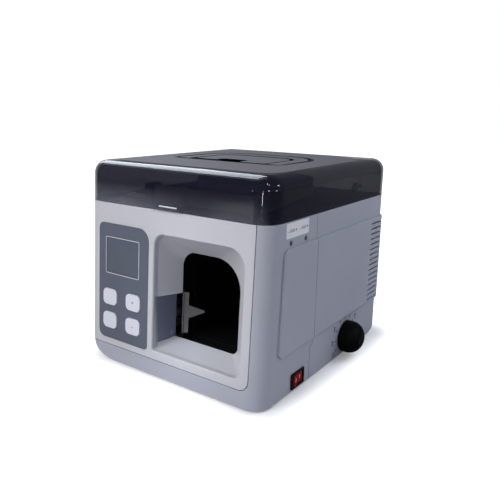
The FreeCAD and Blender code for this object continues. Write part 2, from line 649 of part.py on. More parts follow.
def vent_slots():
    """Louvre slots that wrap round the rear right corner."""
    outside = PAST + BAND_PROUD
    slots = []
    for i in range(VENT_COUNT):
        low = BASE_Z + VENT_LOW + i * VENT_PITCH
        height = (low, low + VENT_SLOT)
        corner = HALF - CORNER_REAR - PAST
        slots.append(box((corner, HALF + outside), (DEPTH - VENT_FRONT, DEPTH + outside), height))
        slots.append(box((HALF - VENT_SIDE, corner + PAST), (DEPTH - WALL - PAST, DEPTH + outside), height))
    return Part.makeCompound(slots)


def rear_shell(wall):
    """Rear moulding: both sides behind the seam and the rear wall, with the vents and the inlet."""
    shell = wall.common(rear_zone(0))
    backing = lip(rear_zone(-LIP).cut(rear_zone(LIP)), rear_zone(0), BASE_Z + SEAM_JOG_HEIGHT + LIP)
    shell = shell.fuse(backing).cut(vent_slots()).cut(inlet_box(FIT, DEPTH - WALL - PAST, REAR_FACE + PAST))
    shell = shell.cut(side_rod(SHAFT_RADIUS + SHAFT_HOLE, (-WALL - PAST, PAST), KNOB_Y, BASE_Z + KNOB_Z))
    return shell.removeSplitter()


def mouth(grow, near, far):
    return prism_y(rect(BIN_X, up(BIN_Z), BIN_ROUNDS, grow), near, far)


def arch(grow, near, far):
    return prism_y(rect(ARCH_X, up(ARCH_Z), ARCH_ROUNDS, grow), near, far)


def funnel(grow, near):
    """Funnel-shaped room from the mouth to the tape arch, with the thumb notch on its left."""
    wires = [outline(rect(BIN_X, up(BIN_Z), BIN_ROUNDS, grow), lambda p: V(p.x, BIN_LIP_DEPTH, p.y)),
             outline(rect(ARCH_X, up(ARCH_Z), ARCH_ROUNDS, grow), lambda p: V(p.x, ARCH_DEPTH, p.y))]
    cone = Part.makeLoft(wires, True, True)
    spot = rect((BIN_X[0], ARCH_X[0] + NOTCH_LAP), up((ARCH_Z[0], NOTCH_HIGH)), NOTCH_ROUND, grow)
    notch = prism_y(spot, max(near, 0) + NOTCH_DEPTH, ARCH_DEPTH)
    return mouth(grow, near, BIN_LIP_DEPTH).fuse(cone).fuse(notch)


def on_front(point):
    """How far a point stands out from the leaning front face."""
    return (point - V(0, 0, BASE_Z)).dot(FRONT_NORMAL)


def fascia():
    """Front panel with the funnel of the work bin moulded into it; the rim of the mouth is rounded."""
    skin = form(0, BASE_Z, JOINT_Z)
    wall = skin.cut(form(WALL, BASE_Z + WALL, JOINT_Z + PAST)).common(fascia_zone(0, FASCIA_WRAP))
    tub = leaned(funnel(FUNNEL_WALL, TOUCH)).common(skin)
    piece = wall.fuse(tub).cut(leaned(funnel(0, -PAST))).removeSplitter()
    low, high = up(BIN_Z)
    rim = []
    for edge in piece.Edges:
        middle = edge.valueAt((edge.FirstParameter + edge.LastParameter) / 2)
        inside = BIN_X[0] - PAST < middle.x < BIN_X[1] + PAST and low - PAST < middle.z < high + PAST
        if inside and abs(on_front(middle)) < TOUCH / 2:
            rim.append(edge)
    piece = piece.makeFillet(BIN_EDGE, rim)
    cuts = [leaned(prism_y(rect(LCD_X, up(LCD_Z), LCD_ROUND, LCD_HOLE), -PAST, WALL + PAST))]
    for x in BUTTON_COLUMNS:
        for z in BUTTON_ROWS:
            cuts.append(button_block(x, z, FIT, -PAST, WALL + PAST))
    cuts.append(leaned(sensor_rod(SENSOR_RADIUS + RUNNING, BIN_X[0] - FUNNEL_WALL - PAST, BIN_X[0] + PAST)))
    scoop = V(SCOOP_X[0], (JOINT_Z - BASE_Z) * SLOPE + SCOOP_DEPTH - SCOOP_RADIUS, JOINT_Z)
    cuts.append(rod(SCOOP_RADIUS, scoop, (1, 0, 0), SCOOP_X[1] - SCOOP_X[0]))
    return piece.cut(Part.makeCompound(cuts)).removeSplitter()


def button_block(x, z, grow, near, far):
    w, h = BUTTON_SIZE
    spot = rect((x - w / 2, x + w / 2), up((z - h / 2, z + h / 2)), BUTTON_ROUND, grow)
    return leaned(prism_y(spot, near, far))


def sensor_rod(radius, left, right):
    return rod(radius, (left, SENSOR[0], BASE_Z + SENSOR[1]), (1, 0, 0), right - left)


def bin_sensor():
    """Light sensor that looks across the thumb notch; its lens stands just proud of the wall."""
    back = BIN_X[0] - FUNNEL_WALL
    lens = sensor_rod(SENSOR_RADIUS, back - PAST, BIN_X[0] + SENSOR_PROUD)
    head = sensor_rod(SENSOR_RADIUS + SENSOR_HEAD, back - SENSOR_LENGTH, back - TOUCH)
    return leaned(lens.fuse(head)).removeSplitter()


# ---------------------------------------------------------------- control panel pieces
def control_panel():
    plate = prism_y(rect(PANEL_X, up(PANEL_Z), PANEL_ROUNDS), -PANEL_THICK, -TOUCH)
    plate = plate.cut(prism_y(rect(LCD_X, up(LCD_Z), LCD_ROUND), -PANEL_THICK - PAST, PAST))
    far = PANEL_THICK + PAST
    holes = [button_block(x, z, FIT, -far, far) for x in BUTTON_COLUMNS for z in BUTTON_ROWS]
    return leaned(plate).cut(Part.makeCompound(holes))


def lcd_screen():
    """Display: glass in the panel's window, a flange behind the wall's opening, and its module."""
    glass = prism_y(rect(LCD_X, up(LCD_Z), LCD_ROUND, -FIT), -LCD_PROUD, LCD_THICK)
    flange = prism_y(rect(LCD_X, up(LCD_Z), LCD_ROUND, LCD_FLANGE), LCD_THICK, WALL + PAST)
    module = prism_y(rect(LCD_X, up(LCD_Z), LCD_ROUND, LCD_MODULE), WALL + TOUCH, BOARD_DEPTH - TOUCH)
    return leaned(union([glass, flange, module]))


def panel_button(column, row):
    """Push button: rounded cap, a flange that keeps it in, and a stem to its key switch."""
    x, z = BUTTON_COLUMNS[column], BUTTON_ROWS[row]
    face = BUTTON_PROUD + PANEL_THICK
    cap = button_block(x, z, 0, -face, WALL + BUTTON_TRAVEL + BUTTON_SKIRT)
    outer = [edge for edge in cap.Edges
             if abs(on_front(edge.valueAt(edge.FirstParameter)) - face) < TOUCH
             and abs(on_front(edge.valueAt(edge.LastParameter)) - face) < TOUCH]
    cap = cap.makeFillet(BUTTON_EDGE, outer)
    near = WALL + FIT
    flange = button_block(x, z, BUTTON_FLANGE, near, near + BUTTON_FLANGE_THICK)
    stem_end = BOARD_DEPTH - KEYSWITCH[1] - BUTTON_REST
    stem = leaned(rod(BUTTON_STEM, (x, near, BASE_Z + z), (0, 1, 0), stem_end - near))
    return union([cap, flange, stem])


def control_board():
    """Circuit board behind the panel, with a key switch under each button."""
    spot_x = (PANEL_X[0] + BOARD_MARGIN[0], PANEL_X[1] - BOARD_MARGIN[0])
    spot_z = up((PANEL_Z[0] + BOARD_MARGIN[0], PANEL_Z[1] - BOARD_MARGIN[1]))
    face = BOARD_DEPTH + BOARD_THICK
    parts = [prism_y(rect(spot_x, spot_z, BOARD_ROUND), BOARD_DEPTH, face)]
    half = KEYSWITCH[0] / 2
    for x in BUTTON_COLUMNS:
        for z in BUTTON_ROWS:
            parts.append(box((x - half, x + half), (BOARD_DEPTH - KEYSWITCH[1], BOARD_DEPTH),
                             up((z - half, z + half))))
    chip = (CHIP_SIZE, CONTROLS_X, CHIP_HEIGHT)
    plug = (PLUG_SIZE, PANEL_X[0] + PLUG_SIDE, PLUG_HEIGHT)
    for (w, h, d), x, z in (chip, plug):
        parts.append(box((x - w / 2, x + w / 2), (face, face + d), up((z - h / 2, z + h / 2))))
    return leaned(union(parts))


# ---------------------------------------------------------------- work bin pieces
def tape_arch():
    """Ring round the work bin; the tape runs in its inner groove, and its left side is open to the head."""
    near = ARCH_DEPTH + FIT
    far = near + RING_DEPTH
    middle = (near + far) / 2
    ring = arch(RING_WALL, near, far).cut(arch(0, near - PAST, far + PAST))
    track = arch(TRACK_DEPTH, middle - TRACK_WIDTH / 2, middle + TRACK_WIDTH / 2)
    side = (ARCH_X[0] - RING_WALL - PAST, ARCH_X[0] + PAST)
    window = box(side, (near - PAST, far + PAST), up((ARCH_Z[0] + WINDOW_SILL, NOTCH_HIGH - WINDOW_HEAD)))
    ring = ring.cut(track.cut(arch(0, near, far))).cut(window)
    low, high = up((ARCH_Z[0], NOTCH_HIGH))
    start = low + WINDOW_SILL - TONGUE_POST_END
    bore = rod(TONGUE_POST + RUNNING, (TONGUE_PIVOT[0], TONGUE_PIVOT[1], start), (0, 0, 1),
               high + TONGUE_POST_END - start)
    return leaned(ring.cut(bore)).removeSplitter()


def bin_liner():
    """Closed tub behind the arch, in which the far end of the bundle lies."""
    near = ARCH_DEPTH + FIT + RING_DEPTH + FIT
    outer = arch(LINER_STEP + LINER_WALL, near, BIN_BACK)
    return leaned(outer.cut(arch(LINER_STEP, near - PAST, BIN_BACK - LINER_WALL))).removeSplitter()


def weld_tongue():
    """Swinging anvil: an upright post with a strip, and the tapered tongue on which the tape is welded."""
    x, y = TONGUE_PIVOT
    low, high = up((ARCH_Z[0] + TONGUE_GAP[0], NOTCH_HIGH - TONGUE_GAP[1]))
    middle = (low + high) / 2
    edge = x + TONGUE_STRIP
    tip = x + TONGUE_LENGTH
    post = rod(TONGUE_POST, (x, y, low - TONGUE_POST_END), (0, 0, 1), high - low + 2 * TONGUE_POST_END)
    spots = ((x, low), (edge, low), (edge, middle - TONGUE_ROOT[0]), (tip, middle + TONGUE_TIP[0]),
             (tip, middle + TONGUE_TIP[1]), (edge, middle + TONGUE_ROOT[1]), (edge, high), (x, high))
    blade = prism_y([(u, v, TONGUE_EDGE) for u, v in spots], y - TONGUE_THICK / 2, y + TONGUE_THICK / 2)
    piece = post.fuse(blade)
    piece.rotate(V(x, y, 0), V(0, 0, 1), TONGUE_SPREAD)
    return leaned(piece).removeSplitter()


# ---------------------------------------------------------------- cover
def level_edges(shape, z):
    """Edges that lie at one height."""
    return [e for e in shape.Edges if abs(e.BoundBox.ZMin - z) < 1e-3 and abs(e.BoundBox.ZMax - z) < 1e-3]


def well(grow, low, high):
    return prism_z(rect(WELL_X, WELL_Y, WELL_ROUNDS, grow), low, high)


def hinge_rod(radius, x, length):
    return rod(radius, (x, HINGE_Y, HINGE_Z), (1, 0, 0), length)


def hinge_side(x, low, high):
    """Zone behind the hinge pin, between two heights."""
    return box(x, (HINGE_Y, FAR), (low, high))


def mirrored(shape):
    return shape.mirror(V(0, 0, 0), V(1, 0, 0))


def finger_lip():
    """Small lip on the cover's lower front edge, by which it is lifted."""
    front = (COVER_Z - BASE_Z) * SLOPE
    low, high = COVER_Z, COVER_Z + FINGER_HEIGHT
    near, far = front - FINGER_PROUD, front + COVER_WALL / 2
    tab = prism_z([(FINGER_X[0], near, FINGER_ROUND), (FINGER_X[1], near, FINGER_ROUND),
                   (FINGER_X[1], far, 0), (FINGER_X[0], far, 0)], low, high, SLOPE)
    return tab.makeFillet(FINGER_EDGE, level_edges(tab, low) + level_edges(tab, high))


def top_cover():
    """Smoked cover, open below, whose rear lower edge is rounded about the hinge pins."""
    outer = form(0, COVER_Z, TOP_Z)
    outer = outer.makeFillet(TOP_ROUND, level_edges(outer, TOP_Z))
    inner = form(COVER_WALL, COVER_Z - PAST, TOP_Z - COVER_WALL)
    inner = inner.makeFillet(TOP_ROUND - COVER_WALL, level_edges(inner, TOP_Z - COVER_WALL))
    across = (-FAR, FAR)
    relief = hinge_side(across, 0, HINGE_Z).cut(hinge_rod(HINGE_RADIUS, -FAR, 2 * FAR))
    hem = hinge_rod(HINGE_RADIUS, -FAR, 2 * FAR).cut(hinge_rod(HINGE_RADIUS - COVER_WALL, -FAR, 2 * FAR))
    hem = hem.common(hinge_side(across, 0, HINGE_Z)).common(outer)
    shell = outer.cut(inner).cut(relief).fuse(hem).fuse(finger_lip())
    ear_x = (HINGE_X + EAR_GAP, HINGE_X + EAR_GAP + EAR_WIDTH)
    root = box(ear_x, (HINGE_Y, DEPTH - COVER_WALL / 2), (HINGE_Z - EAR_ROOT[0], HINGE_Z + EAR_ROOT[1]))
    ear = hinge_rod(EAR_RADIUS, ear_x[0], EAR_WIDTH).fuse(root)
    slot = box((HINGE_X - EAR_WIDTH - BRACKET_GAP, ear_x[0]), (HINGE_Y - BRACKET_DEPTH - PAST, FAR),
               (0, HINGE_Z + BRACKET_GAP))
    bore = hinge_rod(PIN_RADIUS + RUNNING, ear_x[0] - PAST, EAR_WIDTH + 2 * PAST)
    for side in (lambda shape: shape, mirrored):
        shell = shell.cut(side(slot)).fuse(side(ear)).cut(side(bore))
    recess = rect(PANEL_TOP_X, PANEL_TOP_Y, PANEL_TOP_ROUNDS, PANEL_TOP_GAP)
    recess = prism_z(recess, TOP_Z - PANEL_TOP_THICK, TOP_Z + PAST)
    return shell.cut(recess).cut(well(WELL_WALL + FIT, TOP_Z - WELL_DEPTH, TOP_Z + PAST)).removeSplitter()


def cover_panel():
    """Matt top panel; the handle's well is moulded into it and hangs through the cover."""
    plate = rect(PANEL_TOP_X, PANEL_TOP_Y, PANEL_TOP_ROUNDS)
    plate = prism_z(plate, TOP_Z - PANEL_TOP_THICK + TOUCH, TOP_Z)
    tub = well(WELL_WALL, TOP_Z - WELL_DEPTH - WELL_WALL, TOP_Z - TOUCH)
    panel = plate.fuse(tub).cut(well(0, TOP_Z - WELL_DEPTH, TOP_Z + PAST))
    reach = HANDLE_PIN_END + FIT
    return panel.cut(handle_rod(TOUCH, WELL_X[0] - reach, WELL_X[1] + reach)).removeSplitter()


def handle_rod(grow, left, right):
    return rod(HANDLE_PIN + grow, (left, HANDLE_PIVOT[0], HANDLE_PIVOT[1]), (1, 0, 0), right - left)


def hand_handle():
    """Flat bail that lies in its well and swings up about two short pins at its front ends."""
    low = TOP_Z - HANDLE_THICK
    outer = well(-HANDLE_GAP, low, TOP_Z)
    inner = well(-HANDLE_GAP - HANDLE_WIDTH, low - PAST, TOP_Z + PAST)
    open_front = box((-FAR, FAR), (0, HANDLE_PIVOT[0] - HANDLE_THICK / 2 - HANDLE_NOSE), (0, FAR))
    between = box((WELL_X[0] + HANDLE_GAP + HANDLE_WIDTH, WELL_X[1] - HANDLE_GAP - HANDLE_WIDTH),
                  (0, HANDLE_PIVOT[0] + HANDLE_ARM), (0, FAR))
    bail = outer.cut(inner).cut(open_front).cut(between)
    bail = bail.makeFillet(HANDLE_EDGE, level_edges(bail, TOP_Z))
    bore = HANDLE_PIN_LENGTH + FIT
    for left in (WELL_X[0], WELL_X[1] - bore):
        bail = bail.cut(handle_rod(RUNNING, left, left + bore))
    return bail.removeSplitter()


def handle_pins():
    left = handle_rod(0, WELL_X[0] - HANDLE_PIN_END, WELL_X[0] + HANDLE_PIN_LENGTH)
    right = handle_rod(0, WELL_X[1] - HANDLE_PIN_LENGTH, WELL_X[1] + HANDLE_PIN_END)
    return Part.makeCompound([left, right])


def hinge_pins():
    pin = hinge_rod(PIN_RADIUS, HINGE_X - EAR_WIDTH + EAR_GAP, 2 * EAR_WIDTH)
    return Part.makeCompound([pin, mirrored(pin)])


# ---------------------------------------------------------------- tape tray
def tray_rod(radius, spot, low, high):
    """Upright rod on the tape tray."""
    return rod(radius, (spot[0], spot[1], low), (0, 0, 1), high - low)


def ring(outer, inner, low, high):
    """Ring about the reel's axis."""
    return tray_rod(outer, ROLL_CENTRE, low, high).cut(tray_rod(inner, ROLL_CENTRE, low - PAST, high + PAST))


def tape_tray():
    """Moulded tray: floor, upstand rim, reel spindle and the two hinge brackets."""
    inset = WALL + FIT
    plate = form(inset, TRAY_Z - TRAY_THICK, TRAY_Z)
    rim_top = JOINT_Z + RIM_HEIGHT
    rim = form(inset, TRAY_Z - PAST, rim_top).cut(form(inset + RIM_WALL, TRAY_Z - 2 * PAST, rim_top + PAST))
    rim = rim.common(box((-FAR, FAR), (-FAR, HINGE_Y - RIM_REAR), (0, FAR)))
    shoulder = tray_rod(SPINDLE_RADIUS + SHOULDER, ROLL_CENTRE, TRAY_Z - PAST, TAPE_Z - TABLE_THICK - FIT)
    spindle = tray_rod(SPINDLE_RADIUS, ROLL_CENTRE, TRAY_Z - PAST, TAPE_Z + SPINDLE_HEIGHT)
    left = HINGE_X - EAR_WIDTH
    bracket = hinge_rod(BRACKET_RADIUS, left, EAR_WIDTH)
    foot = box((left, HINGE_X), (HINGE_Y - BRACKET_DEPTH, HINGE_Y), (TRAY_Z - PAST, HINGE_Z))
    bracket = bracket.fuse(foot)
    tray = union([plate, rim, shoulder, spindle, bracket, mirrored(bracket)])
    half, front, rear = TRAY_SLOT
    slot = box((INLET_X - half, INLET_X + half), (POST_Y - front, POST_Y + rear), (0, TRAY_Z + PAST))
    hole = hinge_rod(PIN_RADIUS + TOUCH, left + EAR_GAP, EAR_WIDTH)
    return tray.cut(slot).cut(hole).cut(mirrored(hole))


def reel_table():
    """Turntable under the tape: a disc with lightening holes and the hub that fills the roll's core."""
    x, y = ROLL_CENTRE
    low = TAPE_Z - TABLE_THICK
    disc = tray_rod(TABLE_RADIUS, ROLL_CENTRE, low, TAPE_Z - TOUCH)
    hub = tray_rod(CORE_RADIUS - CORE_WALL - CORE_FIT, ROLL_CENTRE, low, TAPE_Z + HUB_HEIGHT)
    table = disc.fuse(hub).cut(tray_rod(SPINDLE_RADIUS + RUNNING, ROLL_CENTRE, 0, FAR))
    for i in range(TABLE_HOLES):
        turn = 2 * math.pi * i / TABLE_HOLES
        spot = (x + TABLE_HOLE_RING * math.cos(turn), y + TABLE_HOLE_RING * math.sin(turn))
        table = table.cut(tray_rod(TABLE_HOLE_RADIUS, spot, 0, FAR))
    return table.removeSplitter()


def roll_core():
    return ring(CORE_RADIUS, CORE_RADIUS - CORE_WALL, TAPE_Z, TAPE_TOP)


def tape_roll():
    return ring(ROLL_RADIUS, CORE_RADIUS + RUNNING, TAPE_Z, TAPE_TOP)


def guide_posts():
    """Two posts with a flange below and above the sleeve that turns on each."""
    low = TRAY_Z + TOUCH
    upper = TAPE_TOP + POST_FLANGE_GAP
    posts = []
    for x in POST_X:
        spot = (x, POST_Y)
        posts.append(union([tray_rod(POST_RADIUS, spot, low, upper + POST_FLANGE_THICK),
                            tray_rod(SLEEVE_RADIUS + POST_FLANGE, spot, low, TAPE_Z - POST_FLANGE_GAP),
                            tray_rod(SLEEVE_RADIUS + POST_FLANGE, spot, upper, upper + POST_FLANGE_THICK)]))
    return Part.makeCompound(posts)


def guide_sleeve(index):
    spot = (POST_X[index], POST_Y)
    low, high = TAPE_Z - POST_FLANGE_GAP + FIT, TAPE_TOP + POST_FLANGE_GAP - FIT
    bore = tray_rod(POST_RADIUS + RUNNING, spot, low - PAST, high + PAST)
    return tray_rod(SLEEVE_RADIUS, spot, low, high).cut(bore)


def paper_tape():
    """Tape on its way from the reel, round the right guide post and along the front to the inlet."""
    low = TAPE_Z + FIT
    roll = V(ROLL_CENTRE[0], ROLL_CENTRE[1], low)
    post = V(POST_X[1], POST_Y, low)
    near = SLEEVE_RADIUS + FIT
    far = near + TAPE_THICK
    gap = ROLL_RADIUS + FIT - near
    line = post - roll
    turn = math.atan2(line.y, line.x) + math.acos(gap / line.Length)
    side = V(math.cos(turn), math.sin(turn), 0)
    bend = (turn - math.pi / 2) / 2
    mid = V(math.cos(bend), math.sin(bend), 0)
    front = V(0, -1, 0)
    end = V(INLET_X, POST_Y, low)
    start = roll + side * gap
    path = [Part.LineSegment(start + side * near, post + side * near),
            Part.Arc(post + side * near, post + mid * near, post + front * near),
            Part.LineSegment(post + front * near, end + front * near),
            Part.LineSegment(end + front * near, end + front * far),
            Part.LineSegment(end + front * far, post + front * far),
            Part.Arc(post + front * far, post + mid * far, post + side * far),
            Part.LineSegment(post + side * far, start + side * far),
            Part.LineSegment(start + side * far, start + side * near)]
    return Part.Face(Part.Wire([part.toShape() for part in path])).extrude(V(0, 0, TAPE_WIDTH - FIT))


def tape_inlet():
    """Slotted block that turns the tape down through the tray."""
    y = POST_Y - SLEEVE_RADIUS - FIT - TAPE_THICK / 2
    half, front, rear = INLET_BLOCK
    block = prism_z(rect((INLET_X - half, INLET_X + half), (y - front, y + rear), INLET_ROUND),
                    TRAY_Z + TOUCH, TAPE_TOP + POST_FLANGE_GAP)
    air = TAPE_THICK / 2 + TOUCH
    slot = box((INLET_X - INLET_SLIT, INLET_X + half + PAST), (y - air, y + air), (TAPE_Z - TOUCH, FAR))
    throat = box((INLET_X - INLET_THROAT[0], INLET_X + INLET_SLIT), (y - TAPE_THICK, y + INLET_THROAT[1]),
                 (0, FAR))
    return block.cut(slot).cut(throat)


def key_spot(grow, rounds):
    x, y = KEY_CENTRE
    w, d = KEY_SIZE[0] / 2, KEY_SIZE[1] / 2
    return rect((x - w, x + w), (y - d, y + d), rounds, grow)


def key_trunnion(radius, reach):
    """Pivot of the key; reach is how far it stands out in front and behind."""
    x, y = KEY_CENTRE
    near = y - KEY_SIZE[1] / 2 - reach
    return rod(radius, (x, near, KEY_TOP - KEY_PIVOT_DROP), (0, 1, 0), KEY_SIZE[1] + 2 * reach)


def key_housing():
    outer = prism_z(key_spot(KEY_RIM, KEY_EDGE), TRAY_Z + TOUCH, KEY_TOP)
    housing = outer.cut(prism_z(key_spot(KEY_GAP, 0), TRAY_Z + KEY_FLOOR, KEY_TOP + PAST))
    return housing.cut(key_trunnion(TRUNNION_RADIUS + RUNNING, KEY_RIM + PAST))


def feed_return_key():
    """Two-way rocker: one end feeds the tape, the other draws it back. Each half of its top slopes
    so that the pressed half lies level."""
    x, y = KEY_CENTRE
    w, d = KEY_SIZE[0] / 2, KEY_SIZE[1] / 2
    keel, drop = KEY_KEEL
    rise = KEY_CROWN + w * math.tan(math.radians(KEY_TILT))
    corners = [(x - keel, KEY_TOP - drop, KEY_ROUND), (x + keel, KEY_TOP - drop, KEY_ROUND),
               (x + w, KEY_TOP - KEY_EDGE, KEY_ROUND), (x + w, KEY_TOP + rise, KEY_ROUND),
               (x, KEY_TOP + KEY_CROWN, 0), (x - w, KEY_TOP + rise, KEY_ROUND),
               (x - w, KEY_TOP - KEY_EDGE, KEY_ROUND)]
    key = prism_y(corners, y - d, y + d)
    return key.fuse(key_trunnion(TRUNNION_RADIUS, KEY_RIM - FIT)).removeSplitter()


# ---------------------------------------------------------------- right side pieces
def rocker_trunnion(radius, reach):
    """Pivot of the rocker; reach is how far it stands out above and below."""
    half = ROCKER_HALF + reach
    return rod(radius, (HALF + ROCKER_PIVOT, SWITCH_Y, BASE_Z + SWITCH_Z - half), (0, 0, 1), 2 * half)


def switch_housing():
    """Panel switch: bezel, body through the wall, and the room in which its rocker tilts."""
    z = BASE_Z + SWITCH_Z
    w, h = SWITCH_BEZEL[0] / 2, SWITCH_BEZEL[1] / 2
    flange = prism_x(rect((SWITCH_Y - w, SWITCH_Y + w), (z - h, z + h), SWITCH_ROUND),
                     HALF + TOUCH, HALF + SWITCH_BEZEL_THICK)
    body = side_box((-SWITCH_DEPTH, PAST), SWITCH_Y, SWITCH_CUT[0] / 2 - FIT, z, SWITCH_CUT[1] / 2 - FIT)
    room = side_box((-SWITCH_ROOM[0], FAR), SWITCH_Y, SWITCH_ROOM[1], z, ROCKER_HALF + ROCKER_GAP)
    bore = rocker_trunnion(TRUNNION_RADIUS + RUNNING, 2 * PAST)
    return flange.fuse(body).cut(room).cut(bore).removeSplitter()


def power_rocker():
    z = BASE_Z + SWITCH_Z
    x = HALF + ROCKER_PIVOT
    corners = [(x - ROCKER_DEPTH, SWITCH_Y - ROCKER_KEEL, ROCKER_ROUND),
               (x + ROCKER_ENDS[0], SWITCH_Y - ROCKER_LENGTH, ROCKER_ROUND),
               (x + ROCKER_ENDS[1], SWITCH_Y - ROCKER_LENGTH, ROCKER_ROUND),
               (x + ROCKER_MIDDLE, SWITCH_Y, 0),
               (x + ROCKER_ENDS[1], SWITCH_Y + ROCKER_LENGTH, ROCKER_ROUND),
               (x + ROCKER_ENDS[0], SWITCH_Y + ROCKER_LENGTH, ROCKER_ROUND),
               (x - ROCKER_DEPTH, SWITCH_Y + ROCKER_KEEL, ROCKER_ROUND)]
    rocker = prism_z(corners, z - ROCKER_HALF, z + ROCKER_HALF)
    rocker = rocker.fuse(rocker_trunnion(TRUNNION_RADIUS, ROCKER_PIN))
    rocker.rotate(V(x, SWITCH_Y, 0), V(0, 0, 1), SWITCH_TILT)
    return rocker.removeSplitter()


def level_knob():
    """Domed knob: a straight skirt, then an arc that leaves it without a kink, and a flat end."""
    start = HALF + KNOB_GAP
    skirt, end = start + KNOB_SKIRT, start + KNOB_LENGTH
    length, drop = end - skirt, KNOB_RADIUS - KNOB_FACE
    bend = (length ** 2 + drop ** 2) / (2 * drop)
    half = math.asin(length / bend) / 2 if bend > length else math.pi / 4
    mid = V(skirt + bend * math.sin(half), KNOB_RADIUS - bend * (1 - math.cos(half)), 0)
    spots = [V(end, KNOB_FACE, 0), V(end, 0, 0), V(start, 0, 0),
             V(start, KNOB_RADIUS, 0), V(skirt, KNOB_RADIUS, 0)]
    edges = [Part.LineSegment(spots[i], spots[i + 1]).toShape() for i in range(len(spots) - 1)]
    edges.append(Part.Arc(spots[-1], mid, spots[0]).toShape())
    knob = Part.Face(Part.Wire(edges)).revolve(V(0, 0, 0), V(1, 0, 0), 360)
    knob.translate(V(0, KNOB_Y, BASE_Z + KNOB_Z))
    hollow = knob_rod(KNOB_RADIUS - KNOB_WALL, KNOB_GAP - PAST, KNOB_GAP + KNOB_SKIRT)
    hollow = hollow.cut(knob_rod(KNOB_BOSS, KNOB_GAP - PAST, KNOB_GAP + KNOB_SKIRT))
    bore = knob_rod(SHAFT_RADIUS + TOUCH, 0, KNOB_GAP + KNOB_LENGTH - SHAFT_GRIP + FIT)
    return knob.cut(hollow).cut(bore)


def knob_rod(radius, near, far):
    return side_rod(radius, (near, far), KNOB_Y, BASE_Z + KNOB_Z)


def knob_shaft():
    return knob_rod(SHAFT_RADIUS, -SHAFT_INSIDE, KNOB_GAP + KNOB_LENGTH - SHAFT_GRIP)


def level_potentiometer():
    """Potentiometer behind the wall, in whose bush the knob's shaft turns."""
    body = knob_rod(POT_RADIUS, -POT_DEPTH, -WALL - FIT)
    bush = knob_rod(SHAFT_RADIUS + POT_BUSH, -POT_BUSH_LENGTH, 0)
    bore = knob_rod(SHAFT_RADIUS + RUNNING, -SHAFT_INSIDE - FIT, PAST)
    return body.fuse(bush).cut(bore).removeSplitter()


def trimmer_board():
    """Small board on a post of the wall, with the bodies of the two trimmers."""
    z = BASE_Z + TRIMMER_Z
    middle = sum(TRIMMER_Y) / 2
    length, height, depth = TRIMMER_BOARD
    face = BOARD_THICK - depth
    parts = [side_box((-depth, face), middle, length / 2, z, height / 2),
             side_rod(TRIMMER_POST, (face - TOUCH, -WALL - TOUCH), middle, z)]
    for y in TRIMMER_Y:
        parts.append(side_box((face, face + TRIMMER_CAN[1]), y, TRIMMER_CAN[0] / 2, z, TRIMMER_CAN[0] / 2))
    piece = union(parts)
    for y in TRIMMER_Y:
        piece = piece.cut(side_rod(TRIMMER_RADIUS + RUNNING, (-TRIMMER_INSIDE - FIT, 0), y, z))
    return piece


def tension_trimmer(index):
    y, z = TRIMMER_Y[index], BASE_Z + TRIMMER_Z
    end = TRIMMER_LENGTH - TRIMMER_INSIDE
    rotor = side_rod(TRIMMER_RADIUS, (-TRIMMER_INSIDE, end), y, z)
    return rotor.cut(side_box((end - TRIMMER_SLOT[1], 0), y, TRIMMER_RADIUS + PAST, z, TRIMMER_SLOT[0] / 2))


# ---------------------------------------------------------------- head and drive
def head_rod(radius, spot, near, far):
    """Rod that runs front to rear through the head, drawn upright."""
    return rod(radius, (spot[0], near, BASE_Z + spot[1]), (0, 1, 0), far - near)


def gear(teeth, spot, bore):
    """Spur gear; one gap of the pinion and one tooth of its partner face each other at rest."""
    pitch = teeth * GEAR_MODULE / 2
    tip, root = pitch + GEAR_ADDENDUM * GEAR_MODULE, pitch - GEAR_DEDENDUM * GEAR_MODULE
    step = 2 * math.pi / teeth
    low, middle, high = TOOTH_SHARES
    flank = ((root, -low), (pitch, -middle), (tip, -high), (tip, high), (pitch, middle), (root, low))
    points = []
    for i in range(teeth):
        start = math.pi / 2 + i * step + (step / 2 if teeth == PINION_TEETH else 0)
        for radius, share in flank:
            turn = start + share * step
            points.append(V(spot[0] + radius * math.cos(turn), GEAR_Y,
                            BASE_Z + spot[1] + radius * math.sin(turn)))
    points.append(points[0])
    wheel = Part.Face(Part.makePolygon(points)).extrude(V(0, GEAR_WIDTH, 0))
    return leaned(wheel.cut(head_rod(bore, spot, GEAR_Y - PAST, GEAR_Y + GEAR_WIDTH + PAST)))


def mechanism_plate():
    """Upright plate that carries the head, with a foot that is screwed to the base plate."""
    plate = prism_y(rect(PLATE_X, up(PLATE_Z), PLATE_ROUNDS), PLATE_Y, PLATE_FAR)
    for spot in (FEED_SHAFT, CAM_SHAFT):
        plate = plate.cut(head_rod(AXLE_RADIUS + RUNNING, spot, PLATE_Y - PAST, PLATE_FAR + PAST))
    for spot in (FEED_DRIVE, CAM_DRIVE):
        plate = plate.cut(head_rod(PINION_HOLE, spot, PLATE_Y - PAST, PLATE_FAR + PAST))
    pin = head_rod(PINCH_PIN, PINCH_PIVOT, PINCH_Y - PAST, PLATE_Y + PAST)
    web = box(PLATE_FOOT_X, (PLATE_Y, PLATE_FAR), up((PLATE_FOOT_LOW, PLATE_Z[0] + PAST)))
    foot = box(PLATE_FOOT_X, (PLATE_Y + PLATE_FOOT_DEPTH[0], PLATE_Y + PLATE_FOOT_DEPTH[1]),
               (BASE_TOP, BASE_TOP + PLATE_THICK))
    return leaned(plate.fuse(pin).fuse(web)).fuse(foot).removeSplitter()


